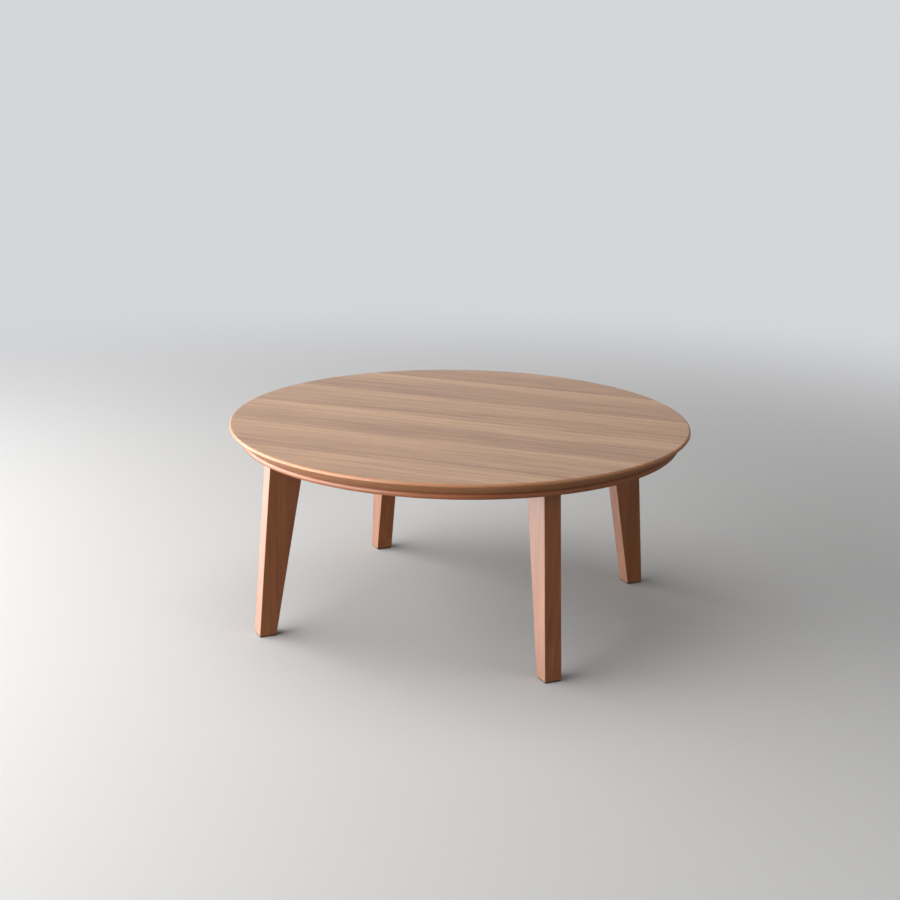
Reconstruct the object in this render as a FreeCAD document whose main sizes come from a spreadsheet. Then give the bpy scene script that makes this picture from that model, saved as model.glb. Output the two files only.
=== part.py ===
# Kotatsu: a low round table with a loose top, a frame on four splayed legs and a heater under the frame.
# Millimetres. The origin is on the floor below the middle of the top, +Z is up, the legs stand on the
# diagonals and the rails run along X and Y.
import FreeCAD, Part
import math
import os
import re
import Sketcher
from FreeCAD import Placement, Rotation, Vector

SIZES = {
    # loose top
    "table_height": 390,
    "top_diameter": 900,
    "top_thickness": 24,
    "veneer_thickness": 0.6,
    "backing_thickness": 0.5,
    "edge_width": 42,
    "lip_round": 6.5,
    "lip_land": 1,
    "bevel_inset": 22.5,
    # frame under the top
    "bumper_diameter": 18,
    "bumper_proud": 0.5,
    "bumper_seat": 2.5,
    "bumper_inset": 31,
    "bumper_clearance": 0.1,
    "bumper_turn": 24,
    "frame_inset": 21,
    "lipping_thickness": 6,
    "lipping_bulge": 2.5,
    "board_thickness": 10,
    "rail_height": 30,
    "rail_thickness": 22,
    # legs and foot pads
    "leg_setback": 33,
    "leg_top_depth": 64,
    "leg_splay": 26,
    "leg_foot_depth": 34,
    "leg_thickness": 34,
    "leg_edge_round": 1.5,
    "pad_thickness": 3,
    "pad_margin": 1,
    "seat_margin": 1.5,
    # bolted leg joints
    "block_reach": 35,
    "bolt_diameter": 6,
    "bolt_pitch": 15,
    "bolt_clearance": 0.3,
    "bolt_head_width": 10,
    "bolt_head_height": 4,
    "washer_diameter": 13,
    "washer_thickness": 1.2,
    "insert_diameter": 9,
    "insert_length": 20,
    "thread_clearance": 0.05,
    # screws
    "screw_diameter": 4,
    "screw_head_diameter": 8,
    "screw_head_height": 2.5,
    "screw_clearance": 0.1,
    "board_screw_bite": 6,
    "board_screw_offset": 110,
    "heater_screw_bite": 14,
    "heater_screw_offset": 110,
    # cross battens
    "batten_width": 24,
    "batten_room": 5.5,
    "tenon_length": 10,
    "tenon_width": 12,
    "tenon_height": 16,
    "tenon_clearance": 0.15,
    # heater shell
    "pan_clearance": 2,
    "pan_sheet": 1,
    "pan_flange": 14,
    "pan_headroom": 3,
    "vent_width": 3,
    "vent_height": 14,
    "vent_pitch": 9,
    "bezel_lap": 22,
    "bezel_height": 12,
    "bezel_round": 14,
    "bezel_edge_round": 3,
    "guard_flange": 8,
    "guard_taper": 8,
    "guard_drop": 11,
    "guard_sheet": 1.5,
    "guard_bar": 2.4,
    "guard_margin": 3,
    "guard_screw_diameter": 3,
    "guard_screw_head_diameter": 6,
    "guard_screw_head_height": 1.8,
    "guard_screw_tail": 2,
    # heating parts
    "reflector_sheet": 1,
    "reflector_clearance": 1,
    "reflector_rise": 4,
    "reflector_slope": 10,
    "reflector_margin": 6,
    "tube_diameter": 12,
    "tube_wall": 1.2,
    "tube_spacing": 110,
    "tube_drop": 11,
    "tube_end_gap": 28,
    "core_clearance": 0.4,
    "cap_length": 22,
    "cap_width": 18,
    "cap_depth": 19,
    "cap_socket": 12,
    "fit_clearance": 0.1,
    "clip_sheet": 1.5,
    "clip_width": 18,
    # fan
    "bracket_length": 64,
    "bracket_width": 26,
    "bracket_sheet": 1.5,
    "motor_diameter": 40,
    "motor_height": 15,
    "motor_wall": 4,
    "motor_cap": 2,
    "rotor_gap": 0.6,
    "rotor_end_gap": 1,
    "bush_diameter": 8,
    "shaft_diameter": 3,
    "shaft_clearance": 0.05,
    "fan_diameter": 84,
    "fan_height": 9,
    "fan_gap": 2,
    "fan_hole_margin": 2,
    "hub_diameter": 18,
    "blade_sheet": 1.2,
    "blade_pitch": 32,
    # electrical parts
    "thermostat_diameter": 16,
    "thermostat_height": 5,
    "thermostat_step": 3,
    "sensor_margin": 8,
    "fuse_diameter": 5,
    "fuse_length": 16,
    "block_length": 36,
    "block_width": 16,
    "block_height": 12,
    "block_inset": 36,
    "inlet_depth": 26,
    "inlet_width": 34,
    "inlet_height": 19,
    "inlet_wall": 4,
    "inlet_back": 8,
    "inlet_lift": 2,
    "pin_diameter": 3.5,
    "pin_length": 9,
    "pin_tail": 8,
    "pin_pitch": 8,
    # wires inside the heater
    "lead_diameter": 1.8,
    "lead_clearance": 0.5,
    "lead_spread": 2.5,
    "lead_sag": 6,
    "lead_turn": 15,
}

# Places and sizes that follow from the driving sizes.
DERIVED = {
    "top_radius": "top_diameter / 2",
    "top_underside": "table_height - top_thickness",
    "veneer_low": "table_height - veneer_thickness",
    "core_radius": "top_radius - edge_width",
    "core_low": "top_underside + backing_thickness",
    "bevel_radius": "top_radius - bevel_inset",
    "lip_flat_radius": "top_radius - lip_round",
    "lip_arc_low": "table_height - lip_round",
    "lip_low": "lip_arc_low - lip_land",
    "veneer_rim": "lip_flat_radius + sqrt(lip_round ^ 2 - (lip_round - veneer_thickness) ^ 2)",
    "board_top": "top_underside - bumper_proud",
    "board_low": "board_top - board_thickness",
    "rail_low": "board_low - rail_height",
    "rail_middle": "board_low - rail_height / 2",
    "frame_radius": "top_radius - frame_inset",
    "board_radius": "frame_radius - lipping_thickness",
    "lipping_flat_radius": "frame_radius - lipping_bulge",
    "lipping_round": "board_thickness ^ 2 / (8 * lipping_bulge) + lipping_bulge / 2",
    "bumper_circle": "frame_radius - bumper_inset",
    "leg_top_outer": "frame_radius - leg_setback",
    "leg_seat": "leg_top_outer - leg_top_depth",
    "foot_outer": "leg_top_outer + leg_splay",
    "foot_inner": "foot_outer - leg_foot_depth",
    "rail_outer": "(leg_seat + leg_thickness / 2 + seat_margin) / sqrt(2)",
    "rail_inner": "rail_outer - rail_thickness",
    "rail_flat_end": "leg_seat * sqrt(2) - rail_outer",
    "rail_mitre_end": "leg_seat / sqrt(2)",
    "inner_corner": "rail_inner * sqrt(2)",
    "block_face": "inner_corner - block_reach",
    "insert_end": "leg_seat + insert_length",
    "batten_outer": "rail_inner - block_reach * sqrt(2) - batten_room",
    "batten_inner": "batten_outer - batten_width",
    "batten_middle": "batten_outer - batten_width / 2",
    "pan_half": "batten_inner - pan_clearance",
    "pan_cavity": "pan_half - pan_sheet",
    "pan_top": "board_top - pan_headroom",
    "pan_ceiling": "pan_top - pan_sheet",
    "opening_half": "pan_half - pan_flange",
    "bezel_half": "batten_inner + bezel_lap",
    "bezel_low": "rail_low - bezel_height",
    "heater_screw_line": "batten_inner + bezel_lap / 2",
    "guard_half": "opening_half + guard_flange",
    "guard_top": "bezel_low - guard_sheet",
    "guard_floor_half": "opening_half - guard_taper",
    "guard_low": "bezel_low - guard_drop",
    "guard_screw_line": "opening_half + guard_flange / 2",
    "reflector_half": "pan_cavity - reflector_clearance",
    "reflector_low": "rail_low + pan_sheet",
    "reflector_foot": "opening_half - reflector_margin",
    "reflector_floor": "reflector_low + reflector_rise",
    "reflector_top": "reflector_floor + reflector_sheet",
    "reflector_crown": "reflector_foot - reflector_slope",
    "sensor_line": "reflector_crown - thermostat_diameter / 2 - sensor_margin",
    "tube_axis": "reflector_floor - tube_drop",
    "tube_bend": "opening_half - tube_end_gap - (tube_spacing + tube_diameter) / 2",
    "tube_start": "0 - opening_half + tube_end_gap",
    "cap_outer": "tube_start + cap_socket - cap_length",
    "motor_top": "pan_ceiling - bracket_sheet",
    "motor_low": "motor_top - motor_height",
    "motor_cavity_low": "motor_low + motor_wall",
    "motor_cavity_top": "motor_top - motor_cap",
    "motor_cavity_radius": "motor_diameter / 2 - motor_wall",
    "fan_top": "motor_low - fan_gap",
    "fan_low": "fan_top - fan_height",
    "thermostat_top": "reflector_top + thermostat_height + thermostat_step",
    "fuse_axis": "reflector_top + fuse_diameter / 2",
    "block_middle": "pan_cavity - block_inset",
    "lead_level": "pan_ceiling - block_height / 2 - lead_diameter",
    "cap_middle": "cap_outer + cap_length / 2",
    "inlet_low": "rail_low + inlet_lift",
    "inlet_axis": "inlet_low + inlet_height / 2",
    "pin_root": "pan_half + inlet_back",
}

SIDES = {"front": 0, "right": 90, "back": 180, "left": 270}
CORNERS = {"front_right": -45, "back_right": 45, "back_left": 135, "front_left": 225}
BOLT_LEVELS = {"low": "rail_middle - bolt_pitch / 2", "high": "rail_middle + bolt_pitch / 2"}
GUARD_GAPS = 15
FAN_BLADES = 5
VENT_SLOTS = 8
PIN_COUNT = 3
BEND_SHARE = 0.45
TOLERANCE = 0.001
Z_AXIS = Vector(0, 0, 1)
ALONG_X = Rotation(Vector(0, 1, 0), 90)

doc = FreeCAD.newDocument("KotatsuTable")
sheet = doc.addObject("Spreadsheet::Sheet", "Sizes")
for row, (size_name, size) in enumerate(SIZES.items(), 1):
    sheet.set(f"A{row}", size_name)
    sheet.set(f"B{row}", str(size))
    sheet.setAlias(f"B{row}", size_name)
doc.recompute()

sub_parts = {}


def expression(text):
    """Writes out the derived places in text and points every size at its cell in the sheet."""
    def spell(match):
        word = match.group(0)
        if word in DERIVED:
            return f"({expression(DERIVED[word])})"
        return f"Sizes.{word}" if word in SIZES else word
    return re.sub(r"[a-z_]+", spell, str(text))


def number(text):
    """The present value of an expression, in millimetres or degrees."""
    return float(sheet.evalExpression(expression(text)))


def bind(thing, **properties):
    """Ties properties of a document object to expressions of the sizes."""
    for name, text in properties.items():
        thing.setExpression(name, expression(text))
    return thing


def place(thing, at, rotation=None):
    """Puts an object at a point given by three expressions, turned by a fixed rotation."""
    if rotation:
        thing.Placement = Placement(Vector(), rotation)
    for axis, text in zip("xyz", at):
        thing.setExpression(f"Placement.Base.{axis}", expression(text))
    return thing


def keep(label, thing):
    """Names a finished piece, so that it is checked and written."""
    thing.Label = label
    sub_parts[label] = thing
    return thing


def cylinder(name, radius, length, at, rotation=None):
    return place(bind(doc.addObject("Part::Cylinder", name), Radius=radius, Height=length), at, rotation)


def block(name, low, high):
    """A box between two corners, each given by three expressions."""
    box = doc.addObject("Part::Box", name)
    sizes = [f"({b}) - ({a})" for a, b in zip(low, high)]
    return place(bind(box, Length=sizes[0], Width=sizes[1], Height=sizes[2]), low)


def square_block(name, half, low, high):
    """A box centred on the table's axis, between two heights."""
    return block(name, (f"-1 * ({half})", f"-1 * ({half})", low), (half, half, high))


def joined(name, things):
    fusion = doc.addObject("Part::MultiFuse", name)
    fusion.Shapes = things
    return fusion


def group(label, things):
    """Like pieces that stay separate solids in one node."""
    compound = doc.addObject("Part::Compound", label)
    compound.Links = things
    return keep(label, compound)


def cut(name, base, tools):
    """Takes the tools out of the base, all at once."""
    tool = tools[0]
    if len(tools) > 1:
        tool = doc.addObject("Part::Compound", f"{name}_tools")
        tool.Links = tools
    result = doc.addObject("Part::Cut", name)
    result.Base = base
    result.Tool = tool
    return result


def new_body(name, angle=0):
    """A body turned about the table's axis."""
    body = doc.addObject("PartDesign::Body", name)
    body.Placement = Placement(Vector(), Rotation(Z_AXIS, angle))
    return body


def new_sketch(body, name, plane, offset="0"):
    """A sketch on one of the body's own origin planes, moved along the plane's normal."""
    sketch = body.newObject("Sketcher::SketchObject", name)
    support = next(feature for feature in body.Origin.OriginFeatures if feature.Role == plane)
    sketch.AttachmentSupport = [(support, "")]
    sketch.MapMode = "FlatFace"
    sketch.setExpression("AttachmentOffset.Base.z", expression(offset))
    return sketch


def pin_point(sketch, element, position, x, y):
    """Holds a point of a sketch at two expressions, measured from the sketch's origin."""
    for kind, axis, text in (("DistanceX", -2, x), ("DistanceY", -1, y)):
        if text == "0":
            sketch.addConstraint(Sketcher.Constraint("PointOnObject", element, position, axis))
        else:
            rule = Sketcher.Constraint(kind, -1, 1, element, position, number(text))
            sketch.setExpression(f"Constraints[{sketch.addConstraint(rule)}]", expression(text))


def outline(body, name, plane, corners, offset="0"):
    """A closed outline, counter-clockwise. A corner with a third entry starts an arc of that radius."""
    sketch = new_sketch(body, name, plane, offset)
    points = [Vector(number(corner[0]), number(corner[1]), 0) for corner in corners]
    for i, corner in enumerate(corners):
        start, end = points[i], points[(i + 1) % len(points)]
        if len(corner) == 2:
            sketch.addGeometry(Part.LineSegment(start, end))
            continue
        radius = number(corner[2])
        half = (end - start) * 0.5
        inward = Vector(-half.y, half.x, 0).normalize()
        centre = start + half + inward * math.sqrt(max(radius ** 2 - half.Length ** 2, 0))
        circle = Part.Circle(centre, Z_AXIS, radius)
        first = math.atan2(start.y - centre.y, start.x - centre.x)
        last = math.atan2(end.y - centre.y, end.x - centre.x)
        sketch.addGeometry(Part.ArcOfCircle(circle, first, last))
    for i, corner in enumerate(corners):
        sketch.addConstraint(Sketcher.Constraint("Coincident", i, 2, (i + 1) % len(corners), 1))
        pin_point(sketch, i, 1, corner[0], corner[1])
        if len(corner) == 3:
            rule = Sketcher.Constraint("Radius", i, number(corner[2]))
            sketch.setExpression(f"Constraints[{sketch.addConstraint(rule)}]", expression(corner[2]))
    return sketch


def circles(body, name, plane, centres, radius, offset="0"):
    """A sketch of equal circles."""
    sketch = new_sketch(body, name, plane, offset)
    for i, (x, y) in enumerate(centres):
        centre = Vector(number(x), number(y), 0)
        sketch.addGeometry(Part.Circle(centre, Z_AXIS, number(radius)))
        pin_point(sketch, i, 3, x, y)
        rule = Sketcher.Constraint("Radius", i, number(radius))
        sketch.setExpression(f"Constraints[{sketch.addConstraint(rule)}]", expression(radius))
    return sketch


def pad(body, sketch, length, both_ways=False):
    feature = body.newObject("PartDesign::Pad", f"{body.Name}_pad")
    feature.Profile = sketch
    if both_ways:
        feature.SideType = "Symmetric"
    return bind(feature, Length=length)


def pocket(body, sketch, length):
    """Cuts down from the sketch, and makes sure that something was cut."""
    doc.recompute()
    before = body.Shape.Volume
    feature = body.newObject("PartDesign::Pocket", f"{body.Name}_pocket")
    feature.Profile = sketch
    bind(feature, Length=length)
    doc.recompute()
    if body.Shape.Volume >= before:
        raise ValueError(f"{feature.Name} cuts nothing")
    return feature


def turned(name, corners, angle=0, sweep="360"):
    """A body turned on the table's axis from an outline of radius and height."""
    body = new_body(name, angle)
    sketch = outline(body, f"{name}_section", "XZ_Plane", corners)
    feature = body.newObject("PartDesign::Revolution", f"{name}_turn")
    feature.Profile = sketch
    feature.ReferenceAxis = (sketch, ["V_Axis"])
    feature.Midplane = True
    bind(feature, Angle=sweep)
    return body


def slab(name, corners, low, thickness, angle=0):
    """A body padded upwards from a flat outline."""
    body = new_body(name, angle)
    pad(body, outline(body, f"{name}_outline", "XY_Plane", corners, low), thickness)
    return body


def ease(body, radius, wanted):
    """Rounds the edges of a body that the test picks."""
    doc.recompute()
    base = body.Tip
    edges = [f"Edge{i}" for i, edge in enumerate(base.Shape.Edges, 1) if wanted(edge)]
    feature = body.newObject("PartDesign::Fillet", f"{body.Name}_round")
    feature.Base = (base, edges)
    return bind(feature, Radius=radius)


def upright(edge):
    """Whether an edge runs mainly up and down."""
    run = edge.Vertexes[-1].Point - edge.Vertexes[0].Point
    return abs(run.z) > math.hypot(run.x, run.y)


def radial(name, angle, radius, start, end, level):
    """A cylinder that points away from the table's axis, between two distances from it."""
    rotation = Rotation(Z_AXIS, angle) * ALONG_X
    at = (f"({start}) * cos({angle})", f"({start}) * sin({angle})", level)
    return cylinder(name, radius, f"({end}) - ({start})", at, rotation)


def screw(name, x, y, low, length, size="screw"):
    """A countersunk screw that points up, its head flush at the low end."""
    head = place(bind(doc.addObject("Part::Cone", f"{name}_head"), Radius1=f"{size}_head_diameter / 2",
                      Radius2=f"{size}_diameter / 2", Height=f"{size}_head_height"), (x, y, low))
    shank = cylinder(f"{name}_shank", f"{size}_diameter / 2", f"({length}) - {size}_head_height",
                     (x, y, f"{low} + {size}_head_height"))
    return joined(name, [head, shank])


def screw_hole(name, x, y, low, length, size="screw"):
    """The room for such a screw, with its clearance all round."""
    head = place(bind(doc.addObject("Part::Cone", f"{name}_sink"),
                      Radius1=f"{size}_head_diameter / 2 + screw_clearance",
                      Radius2=f"{size}_diameter / 2 + screw_clearance",
                      Height=f"{size}_head_height"), (x, y, low))
    shank = cylinder(f"{name}_bore", f"{size}_diameter / 2 + screw_clearance",
                     f"({length}) - {size}_head_height + screw_clearance",
                     (x, y, f"{low} + {size}_head_height"))
    return joined(name, [head, shank])


def loose_top():
    """The core with its face and backing, and the solid edge in four curved segments."""
    keep("top_veneer", turned("top_veneer", [
        ("0", "veneer_low"),
        ("veneer_rim", "veneer_low", "lip_round"),
        ("lip_flat_radius", "table_height"),
        ("0", "table_height")]))
    keep("top_core", cylinder("top_core", "core_radius", "veneer_low - core_low", ("0", "0", "core_low")))
    keep("top_backing", cylinder("top_backing", "bevel_radius", "backing_thickness",
                                 ("0", "0", "top_underside")))
    for side, angle in SIDES.items():
        keep(f"top_edge_{side}", turned(f"top_edge_{side}", [
            ("core_radius", "core_low"),
            ("bevel_radius", "core_low"),
            ("top_radius", "lip_low"),
            ("top_radius", "lip_arc_low", "lip_round"),
            ("veneer_rim", "veneer_low"),
            ("core_radius", "veneer_low")], angle - 90, "90"))


def board_screw_places(side):
    """The two screws under the middle stretch of a rail, as points in the table's plane."""
    angle = SIDES[side]
    line = "(rail_inner + rail_thickness / 2)"
    places = []
    for sign in (-1, 1):
        along = f"{sign} * board_screw_offset"
        places.append((f"{along} * cos({angle}) + {line} * sin({angle})",
                       f"{along} * sin({angle}) - {line} * cos({angle})"))
    return places


def frame_boards():
    """Four boards, mitred over the legs, straight inside and round outside, with a lipping."""
    length = "rail_height + board_screw_bite"
    screws = []
    bumpers = []
    for side, angle in SIDES.items():
        body = slab(f"board_{side}", [
            ("0 - board_radius / sqrt(2)", "0 - board_radius / sqrt(2)", "board_radius"),
            ("board_radius / sqrt(2)", "0 - board_radius / sqrt(2)"),
            ("rail_inner", "0 - rail_inner"),
            ("0 - rail_inner", "0 - rail_inner")], "board_low", "board_thickness", angle)
        seats = [(f"{sign} * bumper_circle * sin(bumper_turn)", "0 - bumper_circle * cos(bumper_turn)")
                 for sign in (-1, 1)]
        pocket(body, circles(body, f"board_{side}_seats", "XY_Plane", seats, "bumper_diameter / 2",
                             "board_top"), "bumper_seat")
        holes = []
        for i, (x, y) in enumerate(board_screw_places(side)):
            screws.append(screw(f"board_screw_{side}_{i}", x, y, "rail_low", length))
            holes.append(screw_hole(f"board_screw_hole_{side}_{i}", x, y, "rail_low", length))
        keep(f"frame_board_{side}", cut(f"frame_board_{side}", body, holes))
        for sign in (-1, 1):
            turn = f"({angle} + {sign} * bumper_turn)"
            at = (f"bumper_circle * sin{turn}", f"0 - bumper_circle * cos{turn}", "board_top - bumper_seat")
            bumpers.append(cylinder(f"bumper_{side}_{sign + 1}", "bumper_diameter / 2 - bumper_clearance",
                                    "bumper_seat + bumper_proud", at))
    group("top_bumpers", bumpers)
    group("board_screws", screws)
    keep("frame_lipping", turned("frame_lipping", [
        ("board_radius", "board_low"),
        ("lipping_flat_radius", "board_low", "lipping_round"),
        ("lipping_flat_radius", "board_top"),
        ("board_radius", "board_top")]))


def bolt_holes(corner):
    """The two bolt holes of a corner, from inside the block to the leg's seat."""
    return [radial(f"bolt_hole_{corner}_{name}", CORNERS[corner], "bolt_diameter / 2 + bolt_clearance",
                   "block_face - washer_thickness", "leg_seat + washer_thickness", level)
            for name, level in BOLT_LEVELS.items()]


def frame_rails():
    """Rails on edge under the boards, mitred together, with a flat for the leg across each corner."""
    holes = {corner: bolt_holes(corner) for corner in CORNERS}
    ends = {"front": ("front_left", "front_right"), "right": ("front_right", "back_right"),
            "back": ("back_right", "back_left"), "left": ("back_left", "front_left")}
    for side, angle in SIDES.items():
        body = slab(f"rail_{side}", [
            ("0 - rail_flat_end", "0 - rail_outer"),
            ("rail_flat_end", "0 - rail_outer"),
            ("rail_mitre_end", "0 - rail_mitre_end"),
            ("rail_inner", "0 - rail_inner"),
            ("0 - rail_inner", "0 - rail_inner"),
            ("0 - rail_mitre_end", "0 - rail_mitre_end")], "rail_low", "rail_height", angle)
        tools = holes[ends[side][0]] + holes[ends[side][1]]
        for i, (x, y) in enumerate(board_screw_places(side)):
            tools.append(screw_hole(f"rail_hole_{side}_{i}", x, y, "rail_low",
                                    "rail_height + board_screw_bite"))
        if side in ("left", "right"):
            tools += [mortise(side, "front"), mortise(side, "back")]
        keep(f"frame_rail_{side}", cut(f"frame_rail_{side}", body, tools))
    for corner, angle in CORNERS.items():
        body = slab(f"block_{corner}", [
            ("block_face", "0 - block_reach"),
            ("inner_corner", "0"),
            ("block_face", "block_reach")], "rail_low", "rail_height", angle)
        keep(f"corner_block_{corner}", cut(f"corner_block_{corner}", body, holes[corner]))


def mortise(side, end):
    """The slot in a side rail for a batten's tenon."""
    start, stop = "rail_inner", "rail_inner + tenon_length + tenon_clearance"
    if side == "left":
        start, stop = f"-1 * ({stop})", f"-1 * ({start})"
    return tenon_block(f"mortise_{side}_{end}", start, stop, end, "tenon_clearance")


def tenon_block(name, start, stop, end, room="0"):
    """A block of the tenon's section, with room round it, on one batten's line."""
    middle = "batten_middle" if end == "back" else "(0 - batten_middle)"
    return block(name,
                 (start, f"{middle} - tenon_width / 2 - {room}", f"rail_middle - tenon_height / 2 - {room}"),
                 (stop, f"{middle} + tenon_width / 2 + {room}", f"rail_middle + tenon_height / 2 + {room}"))


def heater_screw_places():
    return [(f"{i} * heater_screw_offset", f"{j} * heater_screw_line") for i in (-1, 1) for j in (-1, 1)]


def cross_battens():
    """Two battens between the side rails, tenoned into them, that carry the heater."""
    holes = [screw_hole(f"batten_hole_{i}", x, y, "bezel_low", "bezel_height + heater_screw_bite")
             for i, (x, y) in enumerate(heater_screw_places())]
    spans = {"front": ("0 - batten_outer", "0 - batten_inner"), "back": ("batten_inner", "batten_outer")}
    for end, (low, high) in spans.items():
        stick = block(f"batten_{end}_stick", ("0 - rail_inner", low, "rail_low"),
                      ("rail_inner", high, "board_low"))
        tenons = tenon_block(f"batten_{end}_tenons", "0 - rail_inner - tenon_length",
                             "rail_inner + tenon_length", end)
        keep(f"cross_batten_{end}", cut(f"cross_batten_{end}",
                                        joined(f"batten_{end}", [stick, tenons]), holes))


def legs():
    """Four boards set radially, wide at the top and narrow at the foot, with bolts and foot pads."""
    bolts = []
    washers = []
    inserts = []
    for corner, angle in CORNERS.items():
        body = new_body(f"leg_{corner}_board", angle)
        side_face = outline(body, f"leg_{corner}_side", "XZ_Plane", [
            ("foot_inner", "pad_thickness"),
            ("foot_outer", "pad_thickness"),
            ("leg_top_outer", "board_low"),
            ("leg_seat", "board_low"),
            ("leg_seat", "rail_low")])
        pad(body, side_face, "leg_thickness", both_ways=True)
        ease(body, "leg_edge_round", upright)
        sockets = []
        for name, level in BOLT_LEVELS.items():
            key = f"{corner}_{name}"
            sockets.append(radial(f"socket_{key}", angle, "insert_diameter / 2",
                                  "leg_seat - washer_thickness", "insert_end + washer_thickness", level))
            bolts.append(leg_bolt(key, angle, level))
            rim = radial(f"washer_rim_{key}", angle, "washer_diameter / 2", "block_face - washer_thickness",
                         "block_face", level)
            eye = radial(f"washer_eye_{key}", angle, "bolt_diameter / 2 + bolt_clearance",
                         "block_face - 2 * washer_thickness", "block_face + washer_thickness", level)
            washers.append(cut(f"washer_{key}", rim, [eye]))
            sleeve = radial(f"insert_sleeve_{key}", angle, "insert_diameter / 2", "leg_seat", "insert_end",
                            level)
            thread = radial(f"insert_thread_{key}", angle, "bolt_diameter / 2 + thread_clearance",
                            "leg_seat - washer_thickness", "insert_end + washer_thickness", level)
            inserts.append(cut(f"insert_{key}", sleeve, [thread]))
        keep(f"leg_{corner}", cut(f"leg_{corner}", body, sockets))
        half = "(leg_thickness / 2 - pad_margin)"
        foot = slab(f"foot_pad_{corner}", [
            ("foot_inner + pad_margin", f"0 - {half}"),
            ("foot_outer - pad_margin", f"0 - {half}"),
            ("foot_outer - pad_margin", half),
            ("foot_inner + pad_margin", half)], "0", "pad_thickness", angle)
        ease(foot, "leg_edge_round", upright)
        keep(f"foot_pad_{corner}", foot)
    group("leg_bolts", bolts)
    group("leg_washers", washers)
    group("leg_inserts", inserts)


def leg_bolt(key, angle, level):
    """A hexagon bolt, its head inside the corner block and its tip in the leg's insert."""
    shank = radial(f"bolt_shank_{key}", angle, "bolt_diameter / 2", "block_face - washer_thickness",
                   "insert_end", level)
    head = bind(doc.addObject("Part::Prism", f"bolt_head_{key}"), Circumradius="bolt_head_width / sqrt(3)",
                Height="bolt_head_height")
    head.Polygon = 6
    start = "(block_face - washer_thickness - bolt_head_height)"
    place(head, (f"{start} * cos({angle})", f"{start} * sin({angle})", level),
          Rotation(Z_AXIS, angle) * ALONG_X)
    return joined(f"bolt_{key}", [head, shank])


def guard_screw_places():
    return [(f"{i} * guard_screw_line", f"{j} * guard_screw_line") for i in (-1, 1) for j in (-1, 1)]


def guard_screw_length():
    return "guard_sheet + bezel_height + pan_sheet + reflector_sheet + guard_screw_tail"


def guard_screw_holes(piece):
    return [screw_hole(f"{piece}_screw_hole_{i}", x, y, "guard_top", guard_screw_length(), "guard_screw")
            for i, (x, y) in enumerate(guard_screw_places())]


def heater_shell():
    """The steel pan between the battens and the plastic bezel under them, with their screws."""
    cavity = square_block("pan_cavity", "pan_cavity", "rail_low + pan_sheet", "pan_ceiling")
    mouth = square_block("pan_mouth", "opening_half", "rail_low", "rail_low + pan_sheet")
    window = block("pan_window",
                   ("pan_cavity", "inlet_wall - inlet_width / 2", "inlet_low + inlet_wall"),
                   ("pan_half", "inlet_width / 2 - inlet_wall", "inlet_low + inlet_height - inlet_wall"))
    vents = []
    for i in range(VENT_SLOTS):
        middle = f"{i - (VENT_SLOTS - 1) / 2} * vent_pitch"
        vents.append(block(f"pan_vent_{i}",
                           ("0 - pan_half", f"{middle} - vent_width / 2", "inlet_axis - vent_height / 2"),
                           ("0 - pan_cavity", f"{middle} + vent_width / 2", "inlet_axis + vent_height / 2")))
    keep("heater_pan", cut("heater_pan", square_block("pan_outside", "pan_half", "rail_low", "pan_top"),
                           [cavity, mouth, window] + vents + guard_screw_holes("pan")))

    body = slab("bezel", square_outline("bezel_half"), "bezel_low", "bezel_height")
    pocket(body, outline(body, "bezel_opening", "XY_Plane", square_outline("opening_half"), "rail_low"),
           "bezel_height")
    ease(body, "bezel_round", lambda edge: upright(edge) and outside_bezel(edge))
    ease(body, "bezel_edge_round", lambda edge: lower_bezel_edge(edge) and outside_bezel(edge))
    screws = []
    holes = guard_screw_holes("bezel")
    for i, (x, y) in enumerate(heater_screw_places()):
        screws.append(screw(f"heater_screw_{i}", x, y, "bezel_low", "bezel_height + heater_screw_bite"))
        holes.append(screw_hole(f"bezel_hole_{i}", x, y, "bezel_low", "bezel_height + heater_screw_bite"))
    keep("heater_bezel", cut("heater_bezel", body, holes))
    group("heater_screws", screws)
    group("guard_screws", [screw(f"guard_screw_{i}", x, y, "guard_top", guard_screw_length(), "guard_screw")
                           for i, (x, y) in enumerate(guard_screw_places())])


def square_outline(half):
    """A square about the table's axis."""
    return [(f"0 - {half}", f"0 - {half}"), (half, f"0 - {half}"), (half, half), (f"0 - {half}", half)]


def outside_bezel(edge):
    """Whether an edge of the bezel is on its outside, not round its opening."""
    point = edge.Vertexes[0].Point
    return max(abs(point.x), abs(point.y)) > number("guard_half")


def lower_bezel_edge(edge):
    level = number("bezel_low")
    return all(abs(vertex.Point.z - level) < TOLERANCE for vertex in edge.Vertexes)


def square_wire(half, level):
    corners = [Vector(x * half, y * half, level) for x, y in ((-1, -1), (1, -1), (1, 1), (-1, 1))]
    return Part.makePolygon(corners + corners[:1])


def tray(low_half, high_half, low, high):
    """A solid with a square foot and a square top of another size."""
    return Part.makeLoft([square_wire(low_half, low), square_wire(high_half, high)], True, True)


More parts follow.
